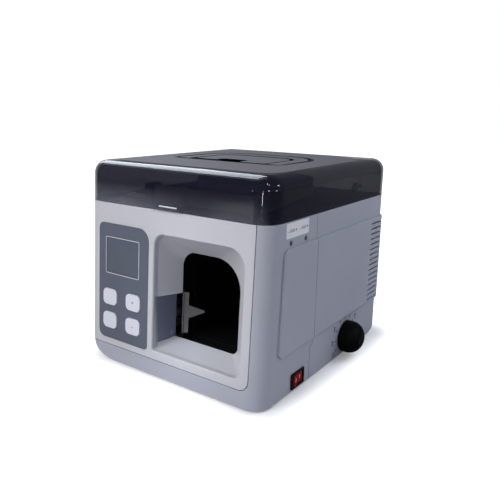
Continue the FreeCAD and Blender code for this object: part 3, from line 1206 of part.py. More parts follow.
def motor(spot):
    """Geared motor on the rear of the plate, bored for the shaft of its pinion."""
    near = PLATE_FAR + TOUCH
    far = near + MOTOR_LENGTH
    can = head_rod(MOTOR_RADIUS, spot, near, far)
    can = can.makeChamfer(MOTOR_CHAMFER, [e for e in can.Edges if e.Curve.TypeId == "Part::GeomCircle"])
    boss = head_rod(MOTOR_BOSS[0], spot, far - PAST, far + MOTOR_BOSS[1])
    bore = head_rod(PINION_AXLE + RUNNING, spot, near - PAST, near + MOTOR_BORE)
    return leaned(can.fuse(boss).cut(bore)).removeSplitter()


def pinion(spot):
    axle = leaned(head_rod(PINION_AXLE, spot, GEAR_Y, PLATE_FAR + PINION_TAIL))
    return gear(PINION_TEETH, spot, PINION_AXLE).fuse(axle).removeSplitter()


def feed_shaft():
    roller = head_rod(ROLLER_RADIUS, FEED_SHAFT, HEAD_Y[0], HEAD_Y[1])
    return leaned(roller.fuse(head_rod(AXLE_RADIUS, FEED_SHAFT, AXLE_Y[0], AXLE_Y[1]))).removeSplitter()


def pinch_arm():
    """Sprung arm that presses the idle roller against the feed roller."""
    left, right = PINCH_SHAFT[0], PINCH_PIVOT[0]
    low, high = up((PINCH_SHAFT[1], PINCH_PIVOT[1]))
    near, far = PINCH_MARGIN
    link = prism_y([(left - near, low - near, PINCH_ROUND), (left + far, low - near, PINCH_ROUND),
                    (right + far, high - far / 2, PINCH_ROUND), (right + far, high + far, PINCH_ROUND),
                    (right - far, high + far, PINCH_ROUND), (left - near, low + far, PINCH_ROUND)],
                   PINCH_Y, PINCH_Y + PINCH_LINK)
    hub = head_rod(PINCH_HUB, PINCH_PIVOT, PINCH_Y, HEAD_Y[1] - PINCH_HUB_END)
    pin = head_rod(PINCH_AXLE, PINCH_SHAFT, PINCH_Y + PAST, HEAD_Y[1] + FIT)
    bore = head_rod(PINCH_PIN + RUNNING, PINCH_PIVOT, PINCH_Y - PAST, FAR)
    return leaned(link.fuse(hub).fuse(pin).cut(bore)).removeSplitter()


def pinch_roller():
    tyre = head_rod(ROLLER_RADIUS, PINCH_SHAFT, HEAD_Y[0] + FIT, HEAD_Y[1])
    return leaned(tyre.cut(head_rod(PINCH_AXLE + RUNNING, PINCH_SHAFT, 0, FAR)))


def slider_depth(index, grow=0.0):
    """Depth range of one slider and of its cam."""
    near = HEAD_Y[0] + SLIDER_START + index * SLIDER_PITCH
    return (near - grow, near + SLIDER_THICK + grow)


def cam_shaft():
    """Shaft with three cams, one for each slider."""
    parts = [head_rod(AXLE_RADIUS, CAM_SHAFT, AXLE_Y[0], AXLE_Y[1])]
    for i in range(CAM_COUNT):
        turn = math.radians(180 + CAM_STEP * (i - (CAM_COUNT - 1) / 2))
        centre = (CAM_SHAFT[0] + CAM_THROW * math.cos(turn), CAM_SHAFT[1] + CAM_THROW * math.sin(turn))
        parts.append(head_rod(CAM_RADIUS, centre, *slider_depth(i)))
    return leaned(union(parts))


def slider(index, head):
    """Bar driven by its cam, with a web up or down to the height range of its working end."""
    far, near = SLIDER_WEB
    bar = box((SLIDER_TAIL_X, SLIDER_TIP_X - near), slider_depth(index), up(SLIDER_BAND))
    reach = (min(head[0], SLIDER_BAND[0]), max(head[1], SLIDER_BAND[1]))
    return bar.fuse(box((SLIDER_TIP_X - far, SLIDER_TIP_X - near), slider_depth(index), up(reach)))


def clamp_slider():
    """Ribbed jaw that holds the end of the tape."""
    jaw = box((SLIDER_TIP_X - SLIDER_WEB[0], SLIDER_TIP_X), JAW_Y, up(JAW_BAND))
    for i in range(JAW_RIBS):
        z = JAW_BAND[0] + JAW_MARGIN + JAW_RIB_PITCH * i
        jaw = jaw.cut(box((SLIDER_TIP_X - JAW_RIB, SLIDER_TIP_X + PAST), HEAD_Y, up((z, z + JAW_RIB))))
    return leaned(slider(0, JAW_BAND).fuse(jaw)).removeSplitter()


def heater_slider():
    """Block that welds the tape, bored for its heating cartridge."""
    block = box((SLIDER_TIP_X - HEATER_LENGTH, SLIDER_TIP_X), JAW_Y, up(SLIDER_BAND))
    link = box((SLIDER_TIP_X - HEATER_LINK[0], SLIDER_TIP_X - HEATER_LINK[1]), slider_depth(1),
               up(SLIDER_BAND))
    radius, back, length = HEATER_BORE
    bore = rod(radius, (SLIDER_TIP_X - back, HEAD_Y[0], BASE_Z + sum(SLIDER_BAND) / 2), (0, 1, 0), length)
    return leaned(slider(1, SLIDER_BAND).fuse(link).fuse(block).cut(bore)).removeSplitter()


def cutter_slider():
    """Blade with a slanted edge that shears the tape."""
    x, root = SLIDER_TIP_X, SLIDER_TIP_X - SLIDER_WEB[0]
    near, far = JAW_Y
    spots = [(root, near, 0), (x - BLADE_SKEW, near, 0), (x, far, 0), (root, far, 0)]
    blade = prism_z(spots, *up(BLADE_BAND))
    return leaned(slider(CAM_COUNT - 1, BLADE_BAND).fuse(blade)).removeSplitter()


def slider_guide():
    """Block on the plate with one slide way for each slider."""
    low, high = SLIDER_BAND
    side, front = GUIDE_MARGIN
    block = box(GUIDE_X, (HEAD_Y[0] - front, PLATE_Y - TOUCH), up((low - side, high + side)))
    along = (GUIDE_X[0] - PAST, GUIDE_X[1] + PAST)
    for i in range(CAM_COUNT):
        block = block.cut(box(along, slider_depth(i, FIT), up((low - FIT, high + FIT))))
    return leaned(block)


# ---------------------------------------------------------------- base and electrics
def base_plate():
    side, end = BASE_LAP
    spot = rect((BASE_OPENING_X[0] - side, BASE_OPENING_X[1] + side),
                (BASE_OPENING_Y[0] - end, BASE_OPENING_Y[1] + end), BASE_ROUND)
    plate = prism_z(spot, BASE_LOW, BASE_TOP - TOUCH)
    for x, y in BASE_SCREWS:
        plate = plate.cut(rod(SCREW_RADIUS + RUNNING, (x, y, 0), (0, 0, 1), BASE_TOP))
    return plate


def rubber_feet():
    feet = []
    for x, y in FOOT_SPOTS:
        foot = Part.makeCone(FOOT_RADIUS - FOOT_TAPER, FOOT_RADIUS, BASE_Z + WALL, V(x, y, 0), V(0, 0, 1))
        feet.append(foot.cut(rod(FOOT_HOLLOW[0], (x, y, -PAST), (0, 0, 1), FOOT_HOLLOW[1] + PAST)))
    return Part.makeCompound(feet)


def case_screws():
    """Cross-head screws that hold the base plate to the case."""
    long, wide, deep = SCREW_CROSS
    floor = BASE_Z + deep
    screws = []
    for x, y in BASE_SCREWS:
        head = rod(SCREW_HEAD, (x, y, BASE_Z + TOUCH), (0, 0, 1), SCREW_HEAD_HEIGHT - 2 * TOUCH)
        for w, d in ((long / 2, wide / 2), (wide / 2, long / 2)):
            head = head.cut(box((x - w, x + w), (y - d, y + d), (0, floor)))
        screws.append(head.fuse(rod(SCREW_RADIUS, (x, y, floor), (0, 0, 1), SCREW_LENGTH)))
    return Part.makeCompound(screws)


def base_box(spot, size, low, high):
    """Box on the base plate; low and high are measured up from the plate."""
    x, y = spot
    return box((x - size[0] / 2, x + size[0] / 2), (y - size[1] / 2, y + size[1] / 2),
               (BASE_TOP + low, BASE_TOP + high))


def transformer():
    """Mains transformer: laminated core, winding bobbin and fixing feet."""
    x, y = TRANSFORMER_SPOT
    w, d, h = TRANSFORMER
    half = TRANSFORMER_COIL / 2
    feet = base_box(TRANSFORMER_SPOT, (w, TRANSFORMER_CORE[1]), 0, TRANSFORMER_FOOT)
    core = base_box(TRANSFORMER_SPOT, TRANSFORMER_CORE, 0, h)
    coil = prism_z(rect((x - half, x + half), (y - d / 2, y + d / 2), COIL_ROUND),
                   BASE_TOP + COIL_INSET, BASE_TOP + h - COIL_INSET)
    return union([feet, core, coil])


def main_board():
    """Drive board on four posts, with capacitors, a heat sink and the controller."""
    x, y = BOARD_SPOT
    w, d = BOARD_SIZE
    top = BOARD_LIFT + BOARD_THICK
    parts = [base_box(BOARD_SPOT, BOARD_SIZE, BOARD_LIFT, top)]
    radius, inset = BOARD_POST
    for i in (-1, 1):
        for j in (-1, 1):
            spot = (x + i * (w / 2 - inset), y + j * (d / 2 - inset), BASE_TOP)
            parts.append(rod(radius, spot, (0, 0, 1), BOARD_LIFT + BOARD_THICK / 2))
    radius, height, pitch = CAPACITOR
    for i in range(CAPACITORS):
        spot = (x + CAPACITOR_SPOT[0] + pitch * i, y + CAPACITOR_SPOT[1], BASE_TOP + BOARD_LIFT)
        parts.append(rod(radius, spot, (0, 0, 1), height))
    sink = (x + HEAT_SINK_SPOT[0], y + HEAT_SINK_SPOT[1])
    parts.append(base_box(sink, HEAT_SINK, BOARD_LIFT, top + HEAT_SINK[2]))
    parts.append(base_box(BOARD_SPOT, MAIN_CHIP, BOARD_LIFT, top + MAIN_CHIP[2]))
    return union(parts)


def inlet_box(grow, near, far):
    x, z = INLET_CENTRE[0], BASE_Z + INLET_CENTRE[1]
    w, h = INLET_BODY[0] / 2 + grow, INLET_BODY[1] / 2 + grow
    return box((x - w, x + w), (near, far), (z - h, z + h))


def power_inlet():
    """Flanged mains inlet on the rear: a socket with two chamfered corners and three flat pins."""
    x, z = INLET_CENTRE[0], BASE_Z + INLET_CENTRE[1]
    w, h = INLET_PANEL[0] / 2, INLET_PANEL[1] / 2
    point = w - INLET_POINT
    spots = ((x - w, z), (x - point, z - h), (x + point, z - h), (x + w, z),
             (x + point, z + h), (x - point, z + h))
    flange = prism_y([(u, v, INLET_ROUNDS[0]) for u, v in spots], REAR_FACE + TOUCH, REAR_FACE + INLET_PROUD)
    body = inlet_box(0, REAR_FACE - INLET_BODY[2], REAR_FACE + PAST)
    half, rise = INLET_ROOM[0] / 2, INLET_ROOM[1] / 2
    slant, shoulder = INLET_SHOULDER
    spots = ((x - half, z - rise), (x + half, z - rise), (x + half, z + shoulder), (x + slant, z + rise),
             (x - slant, z + rise), (x - half, z + shoulder))
    room = prism_y([(u, v, INLET_ROUNDS[1]) for u, v in spots], REAR_FACE - INLET_ROOM[2], FAR)
    piece = flange.fuse(body).cut(room)
    wide, high, pitch, tip = INLET_PIN
    for i, lift in ((-1, -INLET_PIN_RISE), (0, INLET_PIN_RISE), (1, -INLET_PIN_RISE)):
        across = (x + pitch * i - wide / 2, x + pitch * i + wide / 2)
        depth = (REAR_FACE - INLET_ROOM[2] - PAST, REAR_FACE - tip)
        piece = piece.fuse(box(across, depth, (z + lift - high / 2, z + lift + high / 2)))
    for side in (-1, 1):
        spot = (x + side * (w - INLET_HOLES[1]), DEPTH, z)
        piece = piece.cut(rod(INLET_HOLES[0], spot, (0, 1, 0), BAND_PROUD + INLET_PROUD + PAST))
    return piece.removeSplitter()


# ---------------------------------------------------------------- write every piece
os.makedirs("parts", exist_ok=True)
WALL_SHAPE = case_wall()
PIECES = {
    "front_shell": front_shell(WALL_SHAPE), "rear_shell": rear_shell(WALL_SHAPE), "fascia": fascia(),
    "base_plate": base_plate(), "rubber_feet": rubber_feet(), "case_screws": case_screws(),
    "control_panel": control_panel(), "lcd_screen": lcd_screen(), "control_board": control_board(),
    "button_upper_left": panel_button(0, 0), "button_plus": panel_button(1, 0),
    "button_lower_left": panel_button(0, 1), "button_minus": panel_button(1, 1),
    "tape_arch": tape_arch(), "bin_liner": bin_liner(), "bin_sensor": bin_sensor(),
    "weld_tongue": weld_tongue(),
    "top_cover": top_cover(), "cover_panel": cover_panel(), "hand_handle": hand_handle(),
    "handle_pins": handle_pins(), "hinge_pins": hinge_pins(), "tape_tray": tape_tray(),
    "reel_table": reel_table(), "roll_core": roll_core(), "tape_roll": tape_roll(),
    "guide_posts": guide_posts(), "guide_sleeve_left": guide_sleeve(0),
    "guide_sleeve_right": guide_sleeve(1),
    "paper_tape": paper_tape(), "tape_inlet": tape_inlet(),
    "key_housing": key_housing(), "feed_return_key": feed_return_key(),
    "switch_housing": switch_housing(), "power_rocker": power_rocker(),
    "level_knob": level_knob(), "knob_shaft": knob_shaft(), "level_potentiometer": level_potentiometer(),
    "trimmer_board": trimmer_board(), "tension_trimmer_front": tension_trimmer(0),
    "tension_trimmer_rear": tension_trimmer(1),
    "mechanism_plate": mechanism_plate(), "feed_motor": motor(FEED_DRIVE), "feed_pinion": pinion(FEED_DRIVE),
    "feed_shaft": feed_shaft(), "feed_gear": gear(FEED_TEETH, FEED_SHAFT, AXLE_RADIUS + TOUCH),
    "pinch_arm": pinch_arm(), "pinch_roller": pinch_roller(),
    "cam_motor": motor(CAM_DRIVE), "cam_pinion": pinion(CAM_DRIVE), "cam_shaft": cam_shaft(),
    "cam_gear": gear(CAM_TEETH, CAM_SHAFT, AXLE_RADIUS + TOUCH), "slider_guide": slider_guide(),
    "clamp_slider": clamp_slider(), "heater_slider": heater_slider(), "cutter_slider": cutter_slider(),
    "transformer": transformer(), "main_board": main_board(), "power_inlet": power_inlet(),
}
for piece_name, piece_shape in PIECES.items():
    save(piece_name, piece_shape)
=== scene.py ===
# %% [markdown]
# # A banknote strapping machine, dressed for its portrait
# The solids of the machine come ready made, in metres, each in its own place. This lesson gives every one of
# them a finish, adds the small things that a maker prints, winds or screws on at the end, and lights the result.
# The first cell loads the solids and moves each one's place into its own mesh.

# %% Load the solids
import math

import bmesh
import bpy
from mathutils import Matrix, Vector
from mathutils.bvhtree import BVHTree


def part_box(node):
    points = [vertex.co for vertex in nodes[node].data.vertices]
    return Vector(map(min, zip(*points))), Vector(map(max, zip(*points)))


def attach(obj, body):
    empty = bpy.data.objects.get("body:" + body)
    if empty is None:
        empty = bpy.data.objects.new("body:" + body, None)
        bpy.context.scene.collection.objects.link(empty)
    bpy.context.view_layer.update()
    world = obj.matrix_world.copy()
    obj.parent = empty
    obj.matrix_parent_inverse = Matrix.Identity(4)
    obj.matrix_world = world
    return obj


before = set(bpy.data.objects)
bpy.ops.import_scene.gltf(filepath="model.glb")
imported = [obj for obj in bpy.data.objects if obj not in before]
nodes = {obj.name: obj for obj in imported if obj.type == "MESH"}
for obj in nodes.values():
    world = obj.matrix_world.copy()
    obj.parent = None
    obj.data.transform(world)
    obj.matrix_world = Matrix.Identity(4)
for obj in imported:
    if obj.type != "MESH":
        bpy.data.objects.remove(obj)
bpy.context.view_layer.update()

# %% [markdown]
# ## Places
# The case is drawn from its own corner: right of the middle, back from the lower front edge, up from the
# lower edge. One box of the loaded solids says where that corner lies, so no place is typed twice. What is made
# here is put in the scene by one helper, always at the origin, as the loaded solids are.

# %% Helpers for size and place
MM = 0.001
shell_low, shell_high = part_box("front_shell")
CASE_MIDDLE = (shell_low.x + shell_high.x) / 2
CASE_FRONT = shell_low.y
FOOT_GAP = 2.5 * MM
LEAN = math.radians(4.0)
ACROSS, BACK, UP = Vector((1, 0, 0)), Vector((0, 1, 0)), Vector((0, 0, 1))


def at(x, y, z):
    """Point of the case, given in millimetres right of its middle, behind its front and above its lower edge."""
    return Vector((CASE_MIDDLE + x * MM, CASE_FRONT + y * MM, FOOT_GAP + z * MM))


def on_front(x, depth, height):
    """Point of the leaning front, given across, into and up along the face."""
    back = depth * math.cos(LEAN) + height * math.sin(LEAN)
    up = height * math.cos(LEAN) - depth * math.sin(LEAN)
    return at(x, back, up)


def put(name, data):
    """New object in the scene, at the origin. Its data is a mesh, a curve, a lamp or a camera."""
    made = bpy.data.objects.new(name, data)
    bpy.context.scene.collection.objects.link(made)
    return made


INTO_FRONT = on_front(0, 1, 0) - on_front(0, 0, 0)
print("case middle", round(CASE_MIDDLE, 4), "front edge", round(CASE_FRONT, 4))

# %% [markdown]
# ## Camera
# A product picture is taken from a little above and to the right. The camera is built from its place and
# three angles, because a tracking constraint would hide the small roll that a hand-set tripod leaves.

# %% Camera
CAMERA_SPOT = (427.0, -438.3, 314.4)
YAW, PITCH, ROLL = (math.radians(a) for a in (34.83, 14.34, 0.84))
FOCAL_PIXELS = 558.2
FRAME_PIXELS = 500.0
SENSOR_WIDTH = 36.0

forward = Vector((-math.sin(YAW) * math.cos(PITCH), math.cos(YAW) * math.cos(PITCH), -math.sin(PITCH)))
level_right = Vector((math.cos(YAW), math.sin(YAW), 0))
level_up = level_right.cross(forward)
right = level_right * math.cos(ROLL) + level_up * math.sin(ROLL)
upward = level_up * math.cos(ROLL) - level_right * math.sin(ROLL)

camera_data = bpy.data.cameras.new("portrait_camera")
camera_data.sensor_width = SENSOR_WIDTH
camera_data.lens = FOCAL_PIXELS / FRAME_PIXELS * SENSOR_WIDTH
turn = Matrix((right, upward, -forward)).transposed().to_4x4()
camera = put("portrait_camera", camera_data)
camera.matrix_world = Matrix.Translation(at(*CAMERA_SPOT)) @ turn
bpy.context.scene.camera = camera
print("lens", round(camera_data.lens, 2), "mm")

# %% [markdown]
# ## Node helpers
# A procedural material is a small graph, and so are the world's light and a Geometry Nodes recipe. One class adds
# a node, sets its values by name and joins it up; the classes for a finish and a recipe build on it, so that each
# of them below reads as a short list of what the surface or the piece is made of.


# %% Colours and graphs
def srgb(r, g, b):
    """Colour written as it looks, turned into the linear value that a shader wants."""
    def linear(c):
        c /= 255.0
        return c / 12.92 if c <= 0.04045 else ((c + 0.055) / 1.055) ** 2.4
    return (linear(r), linear(g), linear(b), 1.0)


def shade(colour, share):
    return tuple(c * share for c in colour[:3]) + (1.0,)


class Graph:
    """A node tree with short ways to add to it."""

    def __init__(self, tree):
        self.tree = tree

    def node(self, kind, values=None, **settings):
        """New node: plain values go on its sockets. A socket is joined to them, and so is another node's first."""
        made = self.tree.nodes.new(kind)
        for key, value in settings.items():
            setattr(made, key, value)
        for key, value in (values or {}).items():
            if isinstance(value, bpy.types.Node):
                value = value.outputs[0]
            if isinstance(value, bpy.types.NodeSocket):
                self.tree.links.new(value, made.inputs[key])
            else:
                made.inputs[key].default_value = value
        return made

    def maths(self, operation, first, second=0.0):
        return self.node("ShaderNodeMath", {0: first, 1: second}, operation=operation).outputs[0]

    def vectors(self, operation, first, second=(0, 0, 0)):
        """The same for places. A length or a dot product comes out as one number."""
        made = self.node("ShaderNodeVectorMath", {0: first, 1: second}, operation=operation)
        return made.outputs["Value" if operation in ("LENGTH", "DOT_PRODUCT") else "Vector"]

    def product(self, *masks):
        """What is left where every one of several masks has to agree."""
        whole = masks[0]
        for mask in masks[1:]:
            whole = self.maths("MULTIPLY", whole, mask)
        return whole

    def blend(self, factor, first, second):
        return self.node("ShaderNodeMix", {0: factor, 6: first, 7: second}, data_type="RGBA").outputs[2]


print("white is", srgb(255, 255, 255)[:3])

# %% [markdown]
# ## What a finish is
# Every finish is one Principled shader whose colour, polish and relief come from noise or a pattern on the
# object's own place. The ways to say so are few: a tint that wanders, a polish that wears, a bump, and a patch of
# another colour where a mask of places says so.


# %% Helpers for materials
class Finish(Graph):
    """A new material with one Principled shader."""

    def __init__(self, name, colour, roughness, **values):
        self.material = bpy.data.materials.new(name)
        self.material.use_nodes = True
        self.material.diffuse_color = colour
        super().__init__(self.material.node_tree)
        self.colour, self.roughness = colour, roughness
        self.shader = self.tree.nodes["Principled BSDF"]
        self.shader.inputs["Base Color"].default_value = colour
        self.shader.inputs["Roughness"].default_value = roughness
        for key, value in values.items():
            self.shader.inputs[key.replace("_", " ")].default_value = value
        self.place = self.node("ShaderNodeTexCoord").outputs["Object"]

    def link(self, source, name):
        self.tree.links.new(source, self.shader.inputs[name])

    def axes(self, place=None):
        return self.node("ShaderNodeSeparateXYZ", {0: place or self.place}).outputs

    def noise(self, scale, detail=2.0, vector=None):
        values = {"Vector": vector or self.place, "Scale": scale, "Detail": detail}
        return self.node("ShaderNodeTexNoise", values).outputs["Fac"]

    def spread(self, source, low, high, start=0.0, end=1.0, **settings):
        """From low to high while the source goes from start to end."""
        values = {"Value": source, "From Min": start, "From Max": end, "To Min": low, "To Max": high}
        return self.node("ShaderNodeMapRange", values, **settings).outputs["Result"]

    def past_rounded(self, place, half_size, corner):
        """How far a place lies past a box with round corners, counted from its middle."""
        corners = corner if isinstance(corner, bpy.types.NodeSocket) else (corner,) * 3
        past = self.vectors("ADD", self.vectors("SUBTRACT", self.vectors("ABSOLUTE", place), half_size), corners)
        return self.maths("SUBTRACT", self.vectors("LENGTH", self.vectors("MAXIMUM", past)), corner)

    def bump(self, height, strength, distance, normal=None):
        values = {"Height": height, "Strength": strength, "Distance": distance}
        if normal is not None:
            values["Normal"] = normal
        normal = self.node("ShaderNodeBump", values).outputs["Normal"]
        self.link(normal, "Normal")
        return normal

    def tint(self, source, low, high):
        """Colour that wanders between two shades of the finish."""
        self.link(self.blend(source, shade(self.colour, low), shade(self.colour, high)), "Base Color")

    def patch(self, mask, colour):
        """Another colour, laid over the present one where the mask says so."""
        present = self.shader.inputs["Base Color"].links[0].from_socket
        self.link(self.blend(mask, present, colour), "Base Color")

    def polish(self, source, less, more):
        self.link(self.spread(source, self.roughness - less, self.roughness + more), "Roughness")


print("ways to shape a finish:", len([way for way in vars(Finish) if not way.startswith("_")]))

# %% [markdown]
# ## Moulded plastics
# Most of what is seen is injection-moulded plastic. Three things tell it from a flat colour: a faint drift in
# tone where the melt flowed, a slow change of polish where hands and tool wear it, and the fine spark texture
# of the mould. One recipe takes the size and depth of that texture, so the case, the paler front plate and the
# keys each get their own.


# %% Moulded plastic
def moulded(name, colour, roughness, grain, depth, darker=0.05, lighter=None, **values):
    """Moulded plastic: drift in tone from the melt, slow change of polish, and the spark texture of the tool."""
    made = Finish(name, colour, roughness, **values)
    lighter = darker / 2 if lighter is None else lighter
    made.tint(made.spread(made.noise(9.0, 3.0), 0.0, 1.0, 0.3, 0.7), 1.0 - darker, 1.0 + lighter)
    made.polish(made.noise(60.0, 4.0), 0.05, 0.06)
    soft = made.bump(made.noise(24.0, 1.0), 0.05, 0.0006)
    made.bump(made.noise(grain, 1.0), depth, 0.00025, soft)
    return made


case_grey = moulded("case_grey", srgb(172, 174, 186), 0.46, 2600.0, 0.10)
fascia_grey = moulded("fascia_grey", srgb(196, 196, 202), 0.40, 3000.0, 0.06)
# Pale plastic for the painted highlight on the finger lip.
lift_white = moulded("lift_white", srgb(236, 240, 246), 0.35, 3000.0, 0.03)
button_grey = moulded("button_grey", srgb(218, 218, 228), 0.42, 3000.0, 0.05)
tray_grey = moulded("tray_grey", srgb(112, 112, 120), 0.50, 2400.0, 0.10)
key_white = moulded("key_white", srgb(222, 222, 218), 0.38, 3000.0, 0.04)
acetal = moulded("white_acetal", srgb(230, 230, 224), 0.42, 1800.0, 0.05)
black_plastic = moulded("black_plastic", srgb(13, 13, 15), 0.45, 2600.0, 0.10, 0.2, Specular_IOR_Level=0.25)
knob_black = moulded("knob_black", srgb(7, 7, 8), 0.45, 2200.0, 0.06, 0.2, Specular_IOR_Level=0.08)
red_plastic = moulded("red_plastic", srgb(150, 18, 22), 0.24, 900.0, 0.03, 0.12)
overlay_film = moulded("overlay_film", srgb(94, 99, 113), 0.48, 4200.0, 0.06)
print("materials with the plastics:", len(bpy.data.materials))

# %% [markdown]
# ## Painted shade in the thumb notch
# The mouth's left wall is cut back below, so that a thumb can reach the notes. The cut's wall is painted a darker
# blue-grey, as painted shade for the shadow that falls in the recess. It belongs to the same moulding as the pale
# front, so the place alone tells where the painted shade goes: left of the funnel's draft, below the cut's upper edge
# and behind the front's rolled lip, each with a soft border.

# %% Painted shade in the thumb notch
NOTCH_PAINTED_SHADE = srgb(120, 125, 147)
NOTCH_SHADE_STARTS, NOTCH_SHADE_FULL = at(-20.5, 8, 97), at(-20.8, 14, 95)
notch_shade_masks = [fascia_grey.spread(here, 0.0, 1.0, starts, full)
            for here, starts, full in zip(fascia_grey.axes(), NOTCH_SHADE_STARTS, NOTCH_SHADE_FULL)]
# Painted shade: the notch wall is darkened where the recess lies in shadow.
fascia_grey.patch(fascia_grey.product(*notch_shade_masks), NOTCH_PAINTED_SHADE)
print("notch wall from", round(NOTCH_SHADE_FULL.y - CASE_FRONT, 4), "m behind the front")

# %% [markdown]
# ## Grey film, and painted shade round the bail
# The lid's panel, the bail and the infill have a matt grey film on their top faces. Their flanks are black, and the
# film ends a few millimetres short of the bail's well, so that a dark line frames the bail: the black flanks and the
# dark frame are painted shade, standing for the shadow in the gaps round the bail. Height tells film from flank. The
# frame is where the distance to a rounded rectangle lies between nothing and its width; that distance needs only the
# place on the lid and the radius of the nearer pair of corners.

# %% Filmed panel with painted shade
LID_TOP, FILM_DEPTH, FILM_SOFT = 249.0, 0.2, 0.05
WELL_MIDDLE, WELL_HALF, WELL_FRONT_ROUND, WELL_REAR_ROUND = (-4.0, 176.0), (82.0, 57.0), 12.0, 50.0
SHADE_FRAME_WIDTH, SHADE_FRAME_SOFT, WELL_EDGE = 4.5, 0.1, (-1.2, -1.0)
ANY_HEIGHT = 10.0
PAINTED_GAP_SHADE = srgb(10, 10, 12)
panel = moulded("panel_grey", srgb(113, 110, 117), 0.62, 3200.0, 0.14, 0.05, 0.03, Specular_IOR_Level=0.06)
film_low = at(0, 0, LID_TOP - FILM_DEPTH).z
filmed_top = panel.spread(panel.axes()["Z"], 0.0, 1.0, film_low - FILM_SOFT * MM, film_low + FILM_SOFT * MM)
from_middle = panel.vectors("SUBTRACT", panel.place, at(*WELL_MIDDLE, 0))
corner_round = panel.spread(panel.axes(from_middle)["Y"], WELL_FRONT_ROUND * MM, WELL_REAR_ROUND * MM, -MM, MM)
to_well = panel.past_rounded(from_middle, (WELL_HALF[0] * MM, WELL_HALF[1] * MM, ANY_HEIGHT), corner_round)
out_of_shade_frame = panel.spread(to_well, 0.0, 1.0, (SHADE_FRAME_WIDTH - SHADE_FRAME_SOFT) * MM, (SHADE_FRAME_WIDTH + SHADE_FRAME_SOFT) * MM)
inside_well = panel.spread(to_well, 1.0, 0.0, WELL_EDGE[0] * MM, WELL_EDGE[1] * MM)
film = panel.product(filmed_top, panel.maths("MAXIMUM", out_of_shade_frame, inside_well))
# Painted shade: black on the flanks and in a frame round the well, for the shadow in the gaps round the bail.
panel.patch(panel.maths("SUBTRACT", 1.0, film), PAINTED_GAP_SHADE)
print("film lies above", round(film_low, 5), "m")

# %% [markdown]
# ## Smoked cover
# The lid is smoked acrylic, nearly black and just clear enough to show the pale tape inside. Real glass
# transmission would need many samples to light the tray through it. A part-open alpha does the same job at
# once: the light passes straight through both skins of the wall, each holding back its share, while the shader
# still gives sharp reflections on top. A slow bump bends them the way a moulded lid does.

# %% Smoked cover
smoked = Finish("smoked_cover", srgb(20, 18, 40), 0.06, Alpha=0.67, IOR=1.49)
smoked.polish(smoked.noise(40.0, 5.0), 0.02, 0.04)
smoked.tint(smoked.noise(12.0, 3.0), 0.8, 1.2)
smoked.bump(smoked.noise(14.0, 2.0), 0.05, 0.0005)
print("smoked cover lets through", round(1 - smoked.shader.inputs["Alpha"].default_value, 2), "of the light a skin")

# %% [markdown]
# ## Painted light on the cover's front
# Along its lower edge the front of the lid catches light from the pale case beneath. That light is painted in as a
# grey haze that fades upwards and to the right, and it is a little patchy. Four masks multiplied give it: height,
# nearness to the front, place across, and a slow noise.

# %% Painted haze of light
PAINTED_HAZE_LIGHT, HAZE_RISE, SKIN = srgb(116, 119, 130), 24 * MM, 5 * MM
HAZE_ACROSS, HAZE_RIGHT = (at(-70, 0, 0).x, at(30, 0, 0).x), 0.38
lid_front, lid_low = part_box("top_cover")[0][1:]
over, back, high = smoked.axes()
patchy = smoked.spread(smoked.noise(18.0, 2.0), 0.55, 1.0, 0.35, 0.6)
near_edge = smoked.spread(high, 1.0, 0.0, lid_low, lid_low + HAZE_RISE)
near_front = smoked.spread(back, 1.0, 0.0, lid_front + SKIN, lid_front + 2 * SKIN)
leftwards = smoked.spread(over, 1.0, HAZE_RIGHT, *HAZE_ACROSS)
# Painted light: the glow from the pale case below, laid into the cover's colour.
smoked.patch(smoked.product(patchy, near_edge, near_front, leftwards), PAINTED_HAZE_LIGHT)
print("haze up to", round(lid_low + HAZE_RISE, 4), "m")

# %% [markdown]
# ## Display and lens
# The display is dark grey plastic over its crystal and doesn't glow, so a satin grey with little shine stands for
# it. The sensor's lens in the work bin is a small clear dome.

# %% Display and lens
lcd = Finish("lcd_grey", srgb(92, 97, 109), 0.22, Specular_IOR_Level=0.25)
lcd.tint(lcd.noise(40.0, 2.0), 0.94, 1.04)
lcd.polish(lcd.noise(300.0), 0.04, 0.05)
lcd.bump(lcd.noise(700.0), 0.02, 0.0001)

lens = Finish("lens", srgb(200, 212, 230), 0.08, Transmission_Weight=0.4)
lens.bump(lens.noise(200.0), 0.03, 0.0001)
print("with the cover, display and lens:", len(bpy.data.materials))

# %% [markdown]
# ## Metals
# Shafts, plates and pins are ground or drawn steel. Grinding leaves fine strokes in one direction, which is
# noise stretched along the stroke: it changes both the polish and a very shallow bump.


# %% Metals
def ground(name, colour, roughness, strokes=(4.0, 900.0, 900.0)):
    """Metal ground in one direction: noise that is stretched along the strokes."""
    made = Finish(name, colour, roughness, Metallic=1.0)
    marks = made.noise(1.0, 2.0, made.node("ShaderNodeMapping", {"Vector": made.place, "Scale": strokes}))
    made.polish(marks, 0.08, 0.12)
    made.tint(made.noise(30.0, 3.0), 0.92, 1.0)
    made.bump(marks, 0.08, 0.0001)
    return made


steel = ground("steel", srgb(196, 198, 202), 0.30)
tongue_steel = ground("tongue_steel", srgb(150, 146, 146), 0.34, (900.0, 900.0, 6.0))
catch_chrome = ground("catch_chrome", srgb(232, 234, 238), 0.2)
heater_metal = ground("heater_metal", srgb(206, 206, 204), 0.38)
trimmer_brass = ground("trimmer_brass", srgb(204, 174, 104), 0.28)
screw_zinc = ground("screw_zinc", srgb(176, 178, 184), 0.34, (40.0, 40.0, 900.0))

motor_case = Finish("motor_case", srgb(70, 72, 78), 0.36, Metallic=0.4)
motor_case.bump(motor_case.noise(700.0, 3.0), 0.12, 0.0002)
motor_case.polish(motor_case.noise(90.0), 0.06, 0.08)
motor_case.tint(motor_case.noise(20.0), 0.85, 1.1)

